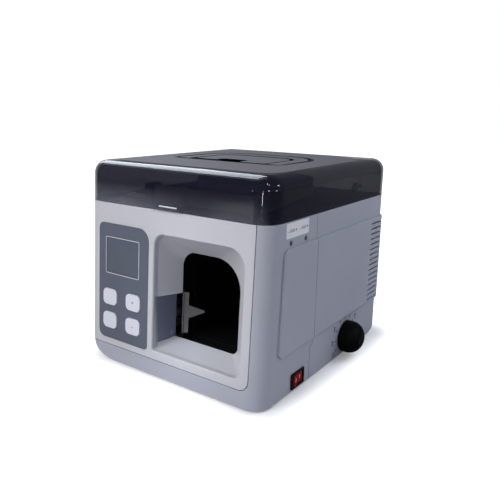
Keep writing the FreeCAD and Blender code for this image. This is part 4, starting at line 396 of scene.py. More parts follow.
iron = Finish("transformer_iron", srgb(84, 76, 62), 0.5, Metallic=0.5)
sheets = iron.node("ShaderNodeTexWave", {"Vector": iron.place, "Scale": 320.0}, bands_direction="Y").outputs["Fac"]
iron.tint(sheets, 0.8, 1.2)
iron.bump(sheets, 0.3, 0.0003)
print("with the metals:", len(bpy.data.materials))

# %% [markdown]
# ## Rubber, boards, card and paper
# What is left is soft or fibrous. Rubber is dull with mould haze, a board has its solder mask and tracks, card
# has fibres, and the wound paper shows the edges of its turns as rings about the reel's axis.

# %% Rubber, boards, card and paper
rubber = moulded("roller_rubber", srgb(34, 34, 35), 0.66, 1200.0, 0.16, 0.15)

board_green = Finish("board_green", srgb(24, 94, 54), 0.28, Coat_Weight=0.4)
tracks = board_green.node("ShaderNodeTexBrick", {"Vector": board_green.place, "Scale": 160.0}).outputs["Fac"]
board_green.tint(tracks, 0.75, 1.2)
board_green.bump(tracks, 0.15, 0.0001)

card = Finish("core_card", srgb(168, 138, 100), 0.85)
card.tint(card.noise(500.0, 4.0), 0.78, 1.2)
card.bump(card.noise(900.0, 3.0), 0.25, 0.0002)

REEL_CENTRE = at(0.0, 186.0, 0.0)
paper = Finish("tape_paper", srgb(232, 227, 212), 0.78)
turns = paper.node("ShaderNodeMapping", {"Vector": paper.place, "Location": -REEL_CENTRE})
rings = paper.node("ShaderNodeTexWave", {"Vector": turns, "Scale": 300.0, "Distortion": 0.6}, wave_type="RINGS",
                   rings_direction="Z").outputs["Fac"]
paper.tint(rings, 0.86, 1.05)
fibres = paper.bump(paper.noise(1500.0, 3.0), 0.12, 0.0001)
paper.bump(rings, 0.10, 0.0001, fibres)

label_film = Finish("label_film", srgb(232, 232, 236), 0.55)
label_film.tint(label_film.noise(400.0, 4.0), 0.96, 1.02)
label_film.polish(label_film.noise(120.0), 0.06, 0.05)
label_film.bump(label_film.noise(2200.0, 2.0), 0.06, 0.0001)
print("with the soft ones:", len(bpy.data.materials))

# %% [markdown]
# ## Inks
# Marks are screen printed: a film of ink a few hundredths of a millimetre thick, a little uneven at its edge.


# %% Inks
def ink(name, colour):
    made = Finish(name, colour, 0.55)
    made.tint(made.noise(1800.0, 2.0), 0.92, 1.04)
    made.bump(made.noise(3000.0), 0.08, 0.00005)
    return made


white_ink = ink("white_ink", srgb(226, 228, 234))
grey_ink = ink("grey_ink", srgb(96, 98, 110))
dark_ink = ink("dark_ink", srgb(24, 24, 30))
print("with the inks:", len(bpy.data.materials))

# %% [markdown]
# ## Who wears what
# One table from finish to solids keeps the choice readable. Only the material slot of a solid is filled; its
# mesh and place stay as they were made.

# %% Dress the solids
WARDROBE = (
    (case_grey, ("front_shell", "rear_shell")),
    (fascia_grey, ("fascia",)),
    (overlay_film, ("control_panel",)),
    (lcd, ("lcd_screen",)),
    (button_grey, ("button_upper_left", "button_plus", "button_lower_left", "button_minus")),
    (smoked, ("top_cover",)),
    (panel, ("cover_panel", "hand_handle")),
    (knob_black, ("level_knob",)),
    (black_plastic, ("tape_arch", "bin_liner", "switch_housing", "key_housing", "power_inlet",
                     "level_potentiometer")),
    (tray_grey, ("tape_tray", "tape_inlet", "reel_table")),
    (lens, ("bin_sensor",)),
    (red_plastic, ("power_rocker",)),
    (key_white, ("feed_return_key",)),
    (tongue_steel, ("weld_tongue",)),
    (steel, ("handle_pins", "hinge_pins", "guide_posts", "knob_shaft", "mechanism_plate",
             "pinch_arm", "cam_shaft", "clamp_slider", "cutter_slider", "case_screws", "base_plate")),
    (acetal, ("guide_sleeve_left", "guide_sleeve_right", "feed_pinion", "feed_gear", "cam_pinion", "cam_gear",
              "slider_guide")),
    (heater_metal, ("heater_slider",)),
    (motor_case, ("feed_motor", "cam_motor")),
    (rubber, ("feed_shaft", "pinch_roller", "rubber_feet")),
    (board_green, ("control_board", "main_board", "trimmer_board")),
    (trimmer_brass, ("tension_trimmer_front", "tension_trimmer_rear")),
    (iron, ("transformer",)),
    (card, ("roll_core",)),
    (paper, ("tape_roll", "paper_tape")),
)
dressed = 0
for finish, names in WARDROBE:
    for name in names:
        mesh = nodes[name].data
        if mesh.materials:
            mesh.materials[0] = finish.material
        else:
            mesh.materials.append(finish.material)
        dressed += 1
print("dressed", dressed, "of", len(nodes))

# %% [markdown]
# ## Laying things on a surface
# Prints and screws must sit on the real surface, from whichever side it is looked at. A ray is sent at a loaded
# solid, and the place where it lands gives the point and the direction that stands out of it. From those comes a
# small frame: X runs across the print, Y up it, and Z out of the surface.


# %% Find a seat on a solid
OUT_FRONT, OUT_RIGHT, OUT_REAR, OUT_TOP = -30, 200, 400, 260
skins = {}


def skin(node):
    """The surface of a solid, ready for rays; it is built once."""
    if node not in skins:
        mesh = nodes[node].data
        skins[node] = BVHTree.FromPolygons([v.co for v in mesh.vertices], [p.vertices for p in mesh.polygons])
    return skins[node]


def seat(node, start, towards, across):
    """Frame on a solid where a ray lands that starts outside the machine."""
    point, normal, _, _ = skin(node).ray_cast(start, towards.normalized())
    if normal.dot(towards) > 0:
        normal = -normal
    side = (across - normal * across.dot(normal)).normalized()
    return Matrix.Translation(point) @ Matrix((side, normal.cross(side), normal)).transposed().to_4x4()


RIGHT_FACE = seat("front_shell", at(OUT_RIGHT, 100, 100), -ACROSS, BACK)
print("right face stands out along", [round(v, 3) for v in RIGHT_FACE.col[2][:3]])

# %% [markdown]
# ## Recipes for Geometry Nodes
# What repeats or follows a path is grown by a node tree: ticks round a dial, turns of tape, a printed border,
# screws. Each tree has named sizes, so one tree serves several places, and a size is a number to turn later
# instead of a shape to model again.

# %% Helpers for Geometry Nodes
SOCKETS = {"Geometry": "Geometry", "Ink": "Material", "Screw": "Object"}


class Recipe(Graph):
    """A Geometry Nodes tree: named sizes in, one finished mesh out."""

    def __init__(self, name, **sizes):
        super().__init__(bpy.data.node_groups.new(name, "GeometryNodeTree"))
        self.keys = {}
        for label in ("Geometry", *sizes, "Ink"):
            kind = SOCKETS.get(label) or ("Int" if isinstance(sizes[label], int) else "Float")
            socket = self.tree.interface.new_socket(label, in_out="INPUT", socket_type="NodeSocket" + kind)
            if kind in ("Int", "Float"):
                socket.default_value = sizes[label]
            self.keys[label] = socket.identifier
        self.tree.interface.new_socket("Geometry", in_out="OUTPUT", socket_type="NodeSocketGeometry")
        self.given = self.node("NodeGroupInput").outputs

    def vector(self, x, y, z):
        return self.node("ShaderNodeCombineXYZ", {0: x, 1: y, 2: z})

    def turned(self, angle):
        """Turn about the third axis."""
        return self.node("FunctionNodeEulerToRotation", {0: self.vector(0.0, 0.0, angle)})

    def finish(self, geometry):
        """The usual end of a tree: real geometry instead of instances, in one material."""
        real = self.node("GeometryNodeRealizeInstances", {0: geometry})
        inked = self.node("GeometryNodeSetMaterial", {"Geometry": real, "Material": self.given["Ink"]})
        self.node("NodeGroupOutput", {0: inked})


print("kinds of input:", sorted(SOCKETS.values()))

# %% [markdown]
# ## Settling a piece
# A grown, written or drawn mesh goes the same way at the end. It is moved to its seat inside the mesh, gets
# its finish and rides on the body that carries it. A modifier or a font is turned into a plain mesh first.


# %% Settle and grow
def settle(name, mesh, body, finish, place=Matrix()):
    """Put a finished mesh in its seat, name it, and let it ride on a body."""
    mesh.name = name
    mesh.transform(place)
    mesh.materials.clear()
    mesh.materials.append(finish.material)
    piece = put(name, mesh)
    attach(piece, body)
    print(name, "has", len(mesh.polygons), "faces")


def plain_mesh(source):
    """Plain mesh of an object as its modifiers leave it; the object itself is then thrown away."""
    view = bpy.context.evaluated_depsgraph_get()
    mesh = bpy.data.meshes.new_from_object(source.evaluated_get(view))
    bpy.data.objects.remove(source)
    return mesh


def grow(name, recipe, body, finish, place, points=((0, 0, 0),), **sizes):
    """Run a recipe on a few points and settle what it grows."""
    start = bpy.data.meshes.new(name)
    start.from_pydata(list(points), [], [])
    holder = put(name + "_holder", start)
    grower = holder.modifiers.new("grow", "NODES")
    grower.node_group = recipe.tree
    for label, value in dict(sizes, Ink=finish.material).items():
        grower[recipe.keys[label]] = value
    settle(name, plain_mesh(holder), body, finish, place)


def lifted(height, x=0.0, y=0.0):
    """Small step on a seat: along it, and out of the surface."""
    return Matrix.Translation((x, y, height))


# %% [markdown]
# ## Ticks
# A dial's ticks are one short bar, repeated round an arc. The bar's place and turn both come from its number.

# %% Recipe for ticks
ticks = Recipe("ticks", Count=9, Radius=0.03, Start=0.0, Sweep=math.pi, Length=0.002, Width=0.0004, Thick=0.00005)
spots = ticks.node("GeometryNodeMeshLine", {"Count": ticks.given["Count"], "Offset": (0, 0, 0)})
gaps = ticks.maths("MAXIMUM", ticks.maths("SUBTRACT", ticks.given["Count"], 1.0), 1.0)
share = ticks.maths("DIVIDE", ticks.node("GeometryNodeInputIndex"), gaps)
angle = ticks.maths("SUBTRACT", ticks.given["Start"], ticks.maths("MULTIPLY", share, ticks.given["Sweep"]))
ring_spot = ticks.vector(ticks.maths("MULTIPLY", ticks.maths("COSINE", angle), ticks.given["Radius"]),
                         ticks.maths("MULTIPLY", ticks.maths("SINE", angle), ticks.given["Radius"]), 0.0)
ring = ticks.node("GeometryNodeSetPosition", {"Geometry": spots, "Position": ring_spot})
bar_size = ticks.vector(ticks.given["Length"], ticks.given["Width"], ticks.given["Thick"])
bar = ticks.node("GeometryNodeMeshCube", {"Size": bar_size})
ticks.finish(ticks.node("GeometryNodeInstanceOnPoints", {"Points": ring, "Instance": bar,
                                                         "Rotation": ticks.turned(angle)}))
print("nodes in the ticks' tree:", len(ticks.tree.nodes))

# %% [markdown]
# ## Words and signs
# Only generic signs are printed: numbers round the dial, plus and minus, on and off. Each is a letter of
# Blender's own font, given the thickness of ink and made a mesh before it is laid in its seat.


# %% Printed signs
INK = 0.06 * MM
CAPITAL_SHARE = 0.69


def sign(name, words, height, body, finish, place, shift=(0.0, 0.0), heavy=0.0):
    """Print letters of a given height, in metres, centred on a seat."""
    curve = bpy.data.curves.new(name, "FONT")
    curve.body = words
    curve.size = height / CAPITAL_SHARE
    curve.align_x = curve.align_y = "CENTER"
    curve.extrude = INK / 2
    curve.offset = heavy
    curve.resolution_u = 4
    settle(name, plain_mesh(put(name + "_letters", curve)), body, finish, place @ lifted(INK / 2, *shift))


print("ink is", round(INK / MM, 3), "mm thick")

# %% [markdown]
# ## Front panel
# The overlay is a printed film with a fine pale line round the display. The line is a rounded rectangle swept
# with a flat section. It is centred on the display but lies on the film, so the step between the two is measured.

# %% Border of the display
border = Recipe("border", Width=0.05, Height=0.04, Corner=0.001, Line=0.0006, Thick=0.00005)
frame_line = border.node("GeometryNodeCurvePrimitiveQuadrilateral",
                         {"Width": border.given["Width"], "Height": border.given["Height"]})
soft_line = border.node("GeometryNodeFilletCurve", {"Curve": frame_line, "Count": 5,
                                                    "Radius": border.given["Corner"]}, mode="POLY")
section = border.node("GeometryNodeCurvePrimitiveQuadrilateral",
                      {"Width": border.given["Line"], "Height": border.given["Thick"]})
border.finish(border.node("GeometryNodeCurveToMesh", {"Curve": soft_line, "Profile Curve": section}))

LCD_X, LCD_Z = (-100.05, -45.05), (114.3, 157.8)
lcd_middle = on_front(sum(LCD_X) / 2, OUT_FRONT, sum(LCD_Z) / 2)
lcd_seat = seat("lcd_screen", lcd_middle, INTO_FRONT, ACROSS)
BORDER_OUT, BESIDE_LCD = 0.9, 2
rim = seat("control_panel", on_front(LCD_X[0] - BESIDE_LCD, OUT_FRONT, sum(LCD_Z) / 2), INTO_FRONT, ACROSS)
lift = (rim.translation - lcd_seat.translation).dot(lcd_seat.col[2].to_3d())
grow("display_border", border, "case", white_ink, lcd_seat @ lifted(lift + INK / 3),
     Width=(LCD_X[1] - LCD_X[0] + 2 * BORDER_OUT) * MM, Height=(LCD_Z[1] - LCD_Z[0] + 2 * BORDER_OUT) * MM,
     Corner=1.6 * MM, Line=0.75 * MM, Thick=INK)

# %% [markdown]
# ## Keys
# Two of the four keys carry a sign, plus and minus. Each sign sits on its own key and moves with it.

# %% Signs on the keys
BUTTON_X = -52.55
KEYS = (("button_plus", "plus_button", "+", 83.2), ("button_minus", "minus_button", "-", 53.0))
for node, body, words, row in KEYS:
    key_seat = seat(node, on_front(BUTTON_X, OUT_FRONT, row), INTO_FRONT, ACROSS)
    sign(node + "_sign", words, 5.0 * MM, body, grey_ink, key_seat, heavy=0.1 * MM)

# %% [markdown]
# ## Dial
# The level knob turns through most of a circle. Numbers stand round it with a tick at each. The knob covers its
# own middle, so the seat is taken beside it, on the same face, and moved to the middle.

# %% Numbers and ticks round the knob
KNOB_Y, KNOB_Z, BESIDE = 200.0, 23.5, 28.0
NUMBERS, FIRST, SWEEP = 9, math.radians(210), math.radians(240)
NUMBER_RING, TICK_RING, NUMBER_HEIGHT = 35.0 * MM, 26.8 * MM, 6.4 * MM
dial = seat("rear_shell", at(OUT_RIGHT, KNOB_Y + BESIDE, KNOB_Z), -ACROSS, BACK)
dial.translation.y -= BESIDE * MM
grow("dial_ticks", ticks, "case", dark_ink, dial @ lifted(INK / 3), Count=NUMBERS,
     Radius=TICK_RING, Start=FIRST, Sweep=SWEEP, Length=4.2 * MM, Width=1.4 * MM, Thick=INK)
for i in range(NUMBERS):
    turn_to = FIRST - i * SWEEP / (NUMBERS - 1)
    spot = (NUMBER_RING * math.cos(turn_to), NUMBER_RING * math.sin(turn_to))
    sign("dial_number_%d" % (i + 1), str(i + 1), NUMBER_HEIGHT, "case", dark_ink, dial, spot, 0.3 * MM)

# %% [markdown]
# ## Solids through loops
# A rib, a plate, a screw's head and an arrow are all the same thing to a modeller: loops of as many points each,
# one above the other, with walls between them and a cap at both ends. One helper serves them all.


# %% Stack of loops
def stacked(name, loops, split_caps=False):
    """Closed mesh through loops of points. Hollow outlines have their caps split in triangles."""
    form = bmesh.new()
    rings = [[form.verts.new(point) for point in loop] for loop in loops]
    for lower, upper in zip(rings, rings[1:]):
        for k in range(len(lower)):
            after = (k + 1) % len(lower)
            form.faces.new((lower[k], lower[after], upper[after], upper[k]))
    caps = [form.faces.new(rings[0][::-1]), form.faces.new(rings[-1])]
    if split_caps:
        bmesh.ops.triangulate(form, faces=caps)
    bmesh.ops.recalc_face_normals(form, faces=form.faces)
    mesh = bpy.data.meshes.new(name)
    form.to_mesh(mesh)
    form.free()
    return mesh


cube = stacked("cube", [[(0, 0, z), (1, 0, z), (1, 1, z), (0, 1, z)] for z in (0, 1)])
print("two square loops make", len(cube.polygons), "faces")
bpy.data.meshes.remove(cube)

# %% [markdown]
# ## Pointer
# A slim rib on the knob's dome points at the numbers. It follows the same arc as the dome, fades out at both ends
# and is a little sunk, so that no gap shows under it.

# %% Pointer rib of the knob
DOME_START, DOME_RADIUS, DOME_MIDDLE = 145.0, 18.04, 2.96
RIB_HALF, RIB_HIGH, RIB_SINK, RIB_STEPS, FADE_STEPS = 0.8, 0.45, 0.4, 14, 4
RIB_FROM, RIB_SWING, SHOULDER = 4, 56, 0.6
rib = []
for i in range(RIB_STEPS + 1):
    swing = math.radians(RIB_FROM + RIB_SWING * i / RIB_STEPS)
    fade = math.sin(math.pi * min(1.0, (i + 1) / FADE_STEPS, (RIB_STEPS + 1 - i) / FADE_STEPS) / 2)
    crest = RIB_HIGH * fade
    section = ((-RIB_HALF, -RIB_SINK), (-RIB_HALF * SHOULDER, crest), (RIB_HALF * SHOULDER, crest),
               (RIB_HALF, -RIB_SINK))
    rib.append([at(DOME_START + (DOME_RADIUS + high) * math.sin(swing), KNOB_Y + aside,
                   KNOB_Z + DOME_MIDDLE + (DOME_RADIUS + high) * math.cos(swing)) for aside, high in section])
settle("knob_pointer", stacked("knob_pointer", rib), "knob", knob_black)

# %% [markdown]
# ## Switch
# The rocker carries the two signs for on and off. It stands tilted at rest, so each sign takes its own seat on
# its own half of the rocker.

# %% Signs on the rocker
SWITCH_Y, SWITCH_Z, SIGN_OUT = 77.0, 12.0, 5.6
for name, words, along in (("rocker_on", "I", SIGN_OUT), ("rocker_off", "O", -SIGN_OUT)):
    rocker_seat = seat("power_rocker", at(OUT_RIGHT, SWITCH_Y + along, SWITCH_Z), -ACROSS, BACK)
    sign(name, words, 4.6 * MM, "rocker", white_ink, rocker_seat)

# %% [markdown]
# ## Outlines with round corners
# A label and a moulded block begin as an outline with round corners. An arc is laid in each corner from the two
# sides that meet there, so an outline may also turn inwards, and every corner keeps its own radius.


# %% Outlines with round corners
def rounded(corners, steps=7):
    """Outline with round right-angled corners, each given as x, y and radius."""
    outline = []
    for k, (x, y, radius) in enumerate(corners):
        corner = Vector((x, y))
        arms = [(Vector(corners[j % len(corners)][:2]) - corner).normalized() * radius for j in (k - 1, k + 1)]
        for i in range(steps + 1):
            swing = math.pi / 2 * i / steps
            outline.append(corner + arms[0] * (1 - math.sin(swing)) + arms[1] * (1 - math.cos(swing)))
    return outline


print("a round corner of 5 mm has", len(rounded(((0, 0, 5), (20, 0, 5), (20, 20, 5), (0, 20, 5)))) // 4, "points")

# %% [markdown]
# ## Label by the trimmers
# A small paper label sits above the two trimmers. Its wording is left off. It keeps a scale of ticks over each
# trimmer, with minus and plus at the ends, which is all that a user needs in order to turn them the right way.


# %% Label
def rounded_plate(name, width, height, thick, corner):
    """Thin plate with round corners and a softened upper edge, lying on Z = 0."""
    softened = thick * 0.6
    loops = []
    for level, inset in ((0.0, 0.0), (softened, 0.0), (thick, softened)):
        x, y, radius = width / 2 - inset, height / 2 - inset, corner - inset
        corners = [(x * i, y * j, radius) for i, j in ((1, 1), (-1, 1), (-1, -1), (1, -1))]
        loops.append([(*p, level) for p in rounded(corners, ARC_STEPS)])
    return stacked(name, loops)


ARC_STEPS = 5
LABEL_Y, LABEL_Z = (44.0, 91.0), (182.2, 198.6)
LABEL_THICK, LABEL_CORNER = 0.14 * MM, 1.2 * MM
label_seat = seat("front_shell", at(OUT_RIGHT, sum(LABEL_Y) / 2, sum(LABEL_Z) / 2), -ACROSS, BACK)
plate = rounded_plate("trimmer_label", (LABEL_Y[1] - LABEL_Y[0]) * MM, (LABEL_Z[1] - LABEL_Z[0]) * MM,
                      LABEL_THICK, LABEL_CORNER)
settle("trimmer_label", plate, "case", label_film, label_seat)

# %% [markdown]
# ## Scales on the label
# Each scale is a short piece of a wide dial, so the same tree of ticks makes it. It stands over its trimmer as
# nearly as the label's edge allows.

# %% Scales
TRIMMERS = (("front", 54.2), ("rear", 85.6))
SCALE_TICKS, SCALE_RADIUS, ARC_MIDDLE, EDGE_ROOM, SIGN_ASIDE = 7, 39.6 * MM, 40 * MM, 11.5, 8.3
for name, y in TRIMMERS:
    middle = min(max(y, LABEL_Y[0] + EDGE_ROOM), LABEL_Y[1] - EDGE_ROOM) - sum(LABEL_Y) / 2
    place = label_seat @ lifted(LABEL_THICK, middle * MM)
    grow("scale_" + name, ticks, "case", dark_ink, place @ lifted(INK / 3, 0, -ARC_MIDDLE),
         Count=SCALE_TICKS, Radius=SCALE_RADIUS, Start=math.radians(96.5), Sweep=math.radians(13), Length=3.4 * MM,
         Width=0.5 * MM, Thick=INK)
    for end, words in ((-SIGN_ASIDE, "-"), (SIGN_ASIDE, "+")):
        sign("scale_%s_%s" % (name, "less" if end < 0 else "more"), words, 4.0 * MM, "case", dark_ink, place,
             (end * MM, -0.6 * MM), 0.12 * MM)

# %% [markdown]
# ## One screw
# A pan-head screw is turned from a profile, and its cross recess is cut with a boolean. That is done once, for
# one head; every screw is then a copy of it.


# %% One pan-head screw
def turned_solid(name, profile, steps=28):
    """Solid turned round Z from (radius, height) points in millimetres, from the bottom up."""
    turns = [(math.cos(2 * math.pi * k / steps), math.sin(2 * math.pi * k / steps)) for k in range(steps)]
    return stacked(name, [[(r * MM * c, r * MM * s, z * MM) for c, s in turns] for r, z in profile])


def cross_cutter(length, width, low, high):
    """Prism in the shape of a plus sign."""
    a, b = width / 2, length / 2
    outline = ((b, -a), (b, a), (a, a), (a, b), (-a, b), (-a, a), (-b, a), (-b, -a), (-a, -a), (-a, -b), (a, -b),
               (a, -a))
    return stacked("cross_cutter", [[(x, y, z) for x, y in outline] for z in (low, high)])


HEAD = ((2.9, 0.0), (2.9, 0.7), (2.7, 1.2), (2.1, 1.6), (1.2, 1.85), (0.5, 1.9))
CROSS_LONG, CROSS_WIDE, CROSS_LOW, CROSS_HIGH = 3.2 * MM, 0.75 * MM, 0.9 * MM, 3.0 * MM
screw_head = put("screw_head", turned_solid("screw_head", HEAD))
cutter = put("cross_cutter", cross_cutter(CROSS_LONG, CROSS_WIDE, CROSS_LOW, CROSS_HIGH))
cut = screw_head.modifiers.new("cross", "BOOLEAN")
cut.object = cutter
cut.solver = "EXACT"
screw_mesh = plain_mesh(screw_head)
bpy.data.objects.remove(cutter)
print("a screw head has", len(screw_mesh.polygons), "faces")

# %% [markdown]
# ## Screws
# The mains inlet is held by two small screws, sunk flush in its flange, and the tape tray by four to its ledge. A
# tree sets a copy on every point, each turned by its own angle, because no two screws stop alike. A ray through
# the screw's own hole would miss, so the inlet's seat is taken beside one hole and moved to the middle.

# %% Recipe for screws, and the screws
screws = Recipe("screws", Screw=None, Seed=3, Size=1.0)
model = screws.node("GeometryNodeObjectInfo", {"Object": screws.given["Screw"]})
roll = screws.node("FunctionNodeRandomValue", {2: 0.0, 3: 2 * math.pi, "Seed": screws.given["Seed"]},
                   data_type="FLOAT").outputs[1]
stood = screws.node("GeometryNodeInstanceOnPoints", {"Points": screws.given["Geometry"],
                                                     "Instance": model.outputs["Geometry"],
                                                     "Rotation": screws.turned(roll),
                                                     "Scale": screws.vector(*[screws.given["Size"]] * 3)})
screws.finish(stood)

screw_model = put("screw_model", screw_mesh)
INLET_X, INLET_Z, INLET_SCREWS, BESIDE_HOLE = 62.0, 70.0, 19.5, 2.4
inlet_seat = seat("power_inlet", at(INLET_X + INLET_SCREWS, OUT_REAR, INLET_Z + BESIDE_HOLE), -BACK, -ACROSS)
inlet_seat.translation -= Vector((INLET_SCREWS, 0, BESIDE_HOLE)) * MM
SMALL_SHARE, SUNK = 0.52, 1.1 * MM
grow("inlet_screws", screws, "case", screw_zinc, inlet_seat @ lifted(-SUNK),
     ((-INLET_SCREWS * MM, 0, 0), (INLET_SCREWS * MM, 0, 0)), Screw=screw_model, Seed=3, Size=SMALL_SHARE)
TRAY_SCREWS_X, TRAY_SCREWS_Y = (-122.0, 122.0), (36.0, 272.0)
tray_seat = seat("tape_tray", at(TRAY_SCREWS_X[0], TRAY_SCREWS_Y[0], OUT_TOP), -UP, ACROSS)
corners = [tray_seat.inverted() @ at(x, y, 0) for x in TRAY_SCREWS_X for y in TRAY_SCREWS_Y]
grow("tray_screws", screws, "case", screw_zinc, tray_seat, [(p.x, p.y, 0) for p in corners],
     Screw=screw_model, Seed=8)
bpy.data.objects.remove(screw_model)

# %% [markdown]
# ## Wound tape
# The reel is some two hundred turns of paper. From above, every few turns one edge stands a little higher, and
# the eye reads those edges as the winding. A spiral curve with a hair of slow noise, swept with a low section,
# gives them real relief that the smoked lid still lets through.

# %% Recipe for the winding, and the winding
winding = Recipe("winding", Inner=0.02, Outer=0.078, Turns=40.0, Width=0.0004, Height=0.0002, Wobble=0.0003)
spiral = winding.node("GeometryNodeCurveSpiral", {
    "Resolution": 72, "Rotations": winding.given["Turns"], "Start Radius": winding.given["Inner"],
    "End Radius": winding.given["Outer"], "Height": 0.0})
drift = winding.node("ShaderNodeTexNoise", {"Scale": 40.0, "Detail": 2.0}).outputs["Fac"]
sway = winding.maths("MULTIPLY", winding.maths("SUBTRACT", drift, 0.5), winding.given["Wobble"])
laid = winding.node("GeometryNodeSetPosition", {"Geometry": spiral, "Offset": winding.vector(sway, sway, 0.0)})
ridge = winding.node("GeometryNodeCurvePrimitiveQuadrilateral",
                     {"Width": winding.given["Width"], "Height": winding.given["Height"]})
winding.finish(winding.node("GeometryNodeCurveToMesh", {"Curve": laid, "Profile Curve": ridge, "Fill Caps": True}))
BESIDE_CORE = 50
roll_top = seat("tape_roll", REEL_CENTRE + Vector((BESIDE_CORE, 0, OUT_TOP)) * MM, -UP, ACROSS)
roll_top.translation.xy = REEL_CENTRE.xy
grow("tape_winding", winding, "tape_reel", paper, roll_top, Inner=21.0 * MM, Outer=77.4 * MM, Turns=42.0,
     Width=0.45 * MM, Height=0.24 * MM, Wobble=0.9 * MM)

# %% [markdown]
# ## Feed and return key
# The rocking key under the lid feeds the tape one way and takes it back the other, so it carries an arrow at each
# end. An arrow is a triangle of ink, printed as the other signs are.

# %% Arrows on the key
KEY_X, KEY_Y, KEY_REACH, ARROW_LONG, ARROW_WIDE = -82.0, 46.0, 7.5, 4.2 * MM, 4.4 * MM
ARROW = ((ARROW_LONG / 2, 0), (-ARROW_LONG / 2, ARROW_WIDE / 2), (-ARROW_LONG / 2, -ARROW_WIDE / 2))
for name, side in (("feed_arrow", 1), ("return_arrow", -1)):
    key_seat = seat("feed_return_key", at(KEY_X + side * KEY_REACH, KEY_Y, OUT_TOP), -UP, ACROSS * side)
    settle(name, stacked(name, [[(x, y, z) for x, y in ARROW] for z in (0, INK)]), "feed_key", grey_ink, key_seat)

# %% [markdown]
# ## Infill of the handle's well
# The bail lies in a well of the lid. Inside the bail the lid comes up level again: a block with round corners and
# a notch in its front edge, where a bright catch stands. It is drawn as one outline and raised, because a plan
# with arcs says more plainly what it is than a cut box would. Three steps near the top soften its edge: the same
# outline is asked for with an inset, and outer corners get tighter while the hollow ones of the notch get wider.

# %% Infill
WELL_FLOOR = 240.0
INFILL_X, INFILL_Y, INFILL_ROUND, CORNER, NICK = (-60.0, 54.0), (126.0, 203.0), 24.0, 6.0, 2.0
NOTCH_X, NOTCH_Y, LEFT_FRONT = (-24.0, 16.0), 147.0, 133.0


def infill_outline(inset):
    """The two numbers after each place say which way the block lies; a hollow corner grows as the block shrinks."""
    places = ((INFILL_X[0], LEFT_FRONT, 1, 1, CORNER - inset), (NOTCH_X[0], LEFT_FRONT, -1, 1, NICK - inset),
              (NOTCH_X[0], NOTCH_Y, -1, 1, CORNER + inset), (NOTCH_X[1], NOTCH_Y, 1, 1, CORNER + inset),
              (NOTCH_X[1], INFILL_Y[0], 1, 1, NICK - inset), (INFILL_X[1], INFILL_Y[0], -1, 1, CORNER - inset),
              (INFILL_X[1], INFILL_Y[1], -1, -1, INFILL_ROUND - inset),
              (INFILL_X[0], INFILL_Y[1], 1, -1, INFILL_ROUND - inset))
    return rounded([(x + i * inset, y + j * inset, radius) for x, y, i, j, radius in places])


EDGE = ((0.0, WELL_FLOOR - 0.02), (0.0, LID_TOP - 0.8), (0.25, LID_TOP - 0.25), (0.7, LID_TOP))
levels = [[at(p.x, p.y, z) for p in infill_outline(inset)] for inset, z in EDGE]
settle("well_infill", stacked("well_infill", levels, split_caps=True), "cover", panel)

# %% [markdown]
# ## Painted highlight on the finger lip
# Under the lid's front edge stands a small lip for the fingers. A pale strip along it is a painted highlight: the
# light that the lip's top edge catches.

# %% Painted highlight along the finger lip
HIGHLIGHT_X, HIGHLIGHT_Z, HIGHLIGHT_HIGH, HIGHLIGHT_THICK = (-14.5, 12.5), 204.9, 1.3, 0.2
highlight_seat = seat("top_cover", at(sum(HIGHLIGHT_X) / 2, OUT_FRONT, HIGHLIGHT_Z), BACK, ACROSS)
# Painted highlight: a thin pale strip standing for the light on the lip's top edge.
lift_line = rounded_plate("lift_line", (HIGHLIGHT_X[1] - HIGHLIGHT_X[0]) * MM, HIGHLIGHT_HIGH * MM, HIGHLIGHT_THICK * MM, 0.6 * MM)
settle("lift_line", lift_line, "cover", lift_white, highlight_seat)

# %% [markdown]
# ## Catch
# A small polished pin with a round head stands in the notch and holds the bail down.

# %% Catch of the bail
CATCH_X, CATCH_Y = 3.5, 136.0
CATCH = ((1.1, 0.0), (1.1, 6.0), (1.7, 6.6), (1.9, 7.4), (1.6, 8.2), (0.9, 8.7), (0.3, 8.85))
settle("bail_catch", turned_solid("bail_catch", CATCH, 20), "cover", catch_chrome,
       Matrix.Translation(at(CATCH_X, CATCH_Y, WELL_FLOOR)))

# %% [markdown]
# ## Studio
# A white sweep under soft light. Floor and world are pure white to the camera, dim in reflections, and dark to the
# rays that carry light, so that their white doesn't wash out the shadows. A light path tells the rays apart.


# %% What the floor and the world show
MIRRORED = 0.05


def looks(graph):
    """Which rays look: those that see straight or through glass, and those that see in gloss."""
    rays = graph.node("ShaderNodeLightPath").outputs
    return graph.maths("MAXIMUM", rays["Is Camera Ray"], rays["Is Transmission Ray"]), rays["Is Glossy Ray"]


def shown_level(graph):
    """White to the camera and through glass, dimmer in reflections, and nothing for rays that carry light."""
    straight, glossy = looks(graph)
    return graph.maths("MAXIMUM", straight, graph.maths("MULTIPLY", glossy, MIRRORED))


print("share of white in reflections:", MIRRORED)

# %% [markdown]
# ## Floor
# The floor takes the machine's shadow. Past the footprint it glows for the camera, more with distance, so that
# the shadow keeps close to the feet and no horizon shows. The distance is that to the footprint with its round
# corners. In gloss the floor is dark, so that the lid stays black.

# %% Floor
HALF_FLOOR = 6.0
FOOTPRINT_HALF, FOOTPRINT_ROUND = (0.1385, 0.1560), 0.025
GLOW_FROM, GLOW_TO, SHADOW_GLOW, GLOSSY_FLOOR = -0.012, 0.032, 0.20, 0.12
floor_mesh = bpy.data.meshes.new("floor")
floor_mesh.from_pydata([(x * HALF_FLOOR, y * HALF_FLOOR, 0) for x, y in ((-1, -1), (1, -1), (1, 1), (-1, 1))], [],
                       [(0, 1, 2, 3)])
floor = put("floor", floor_mesh)

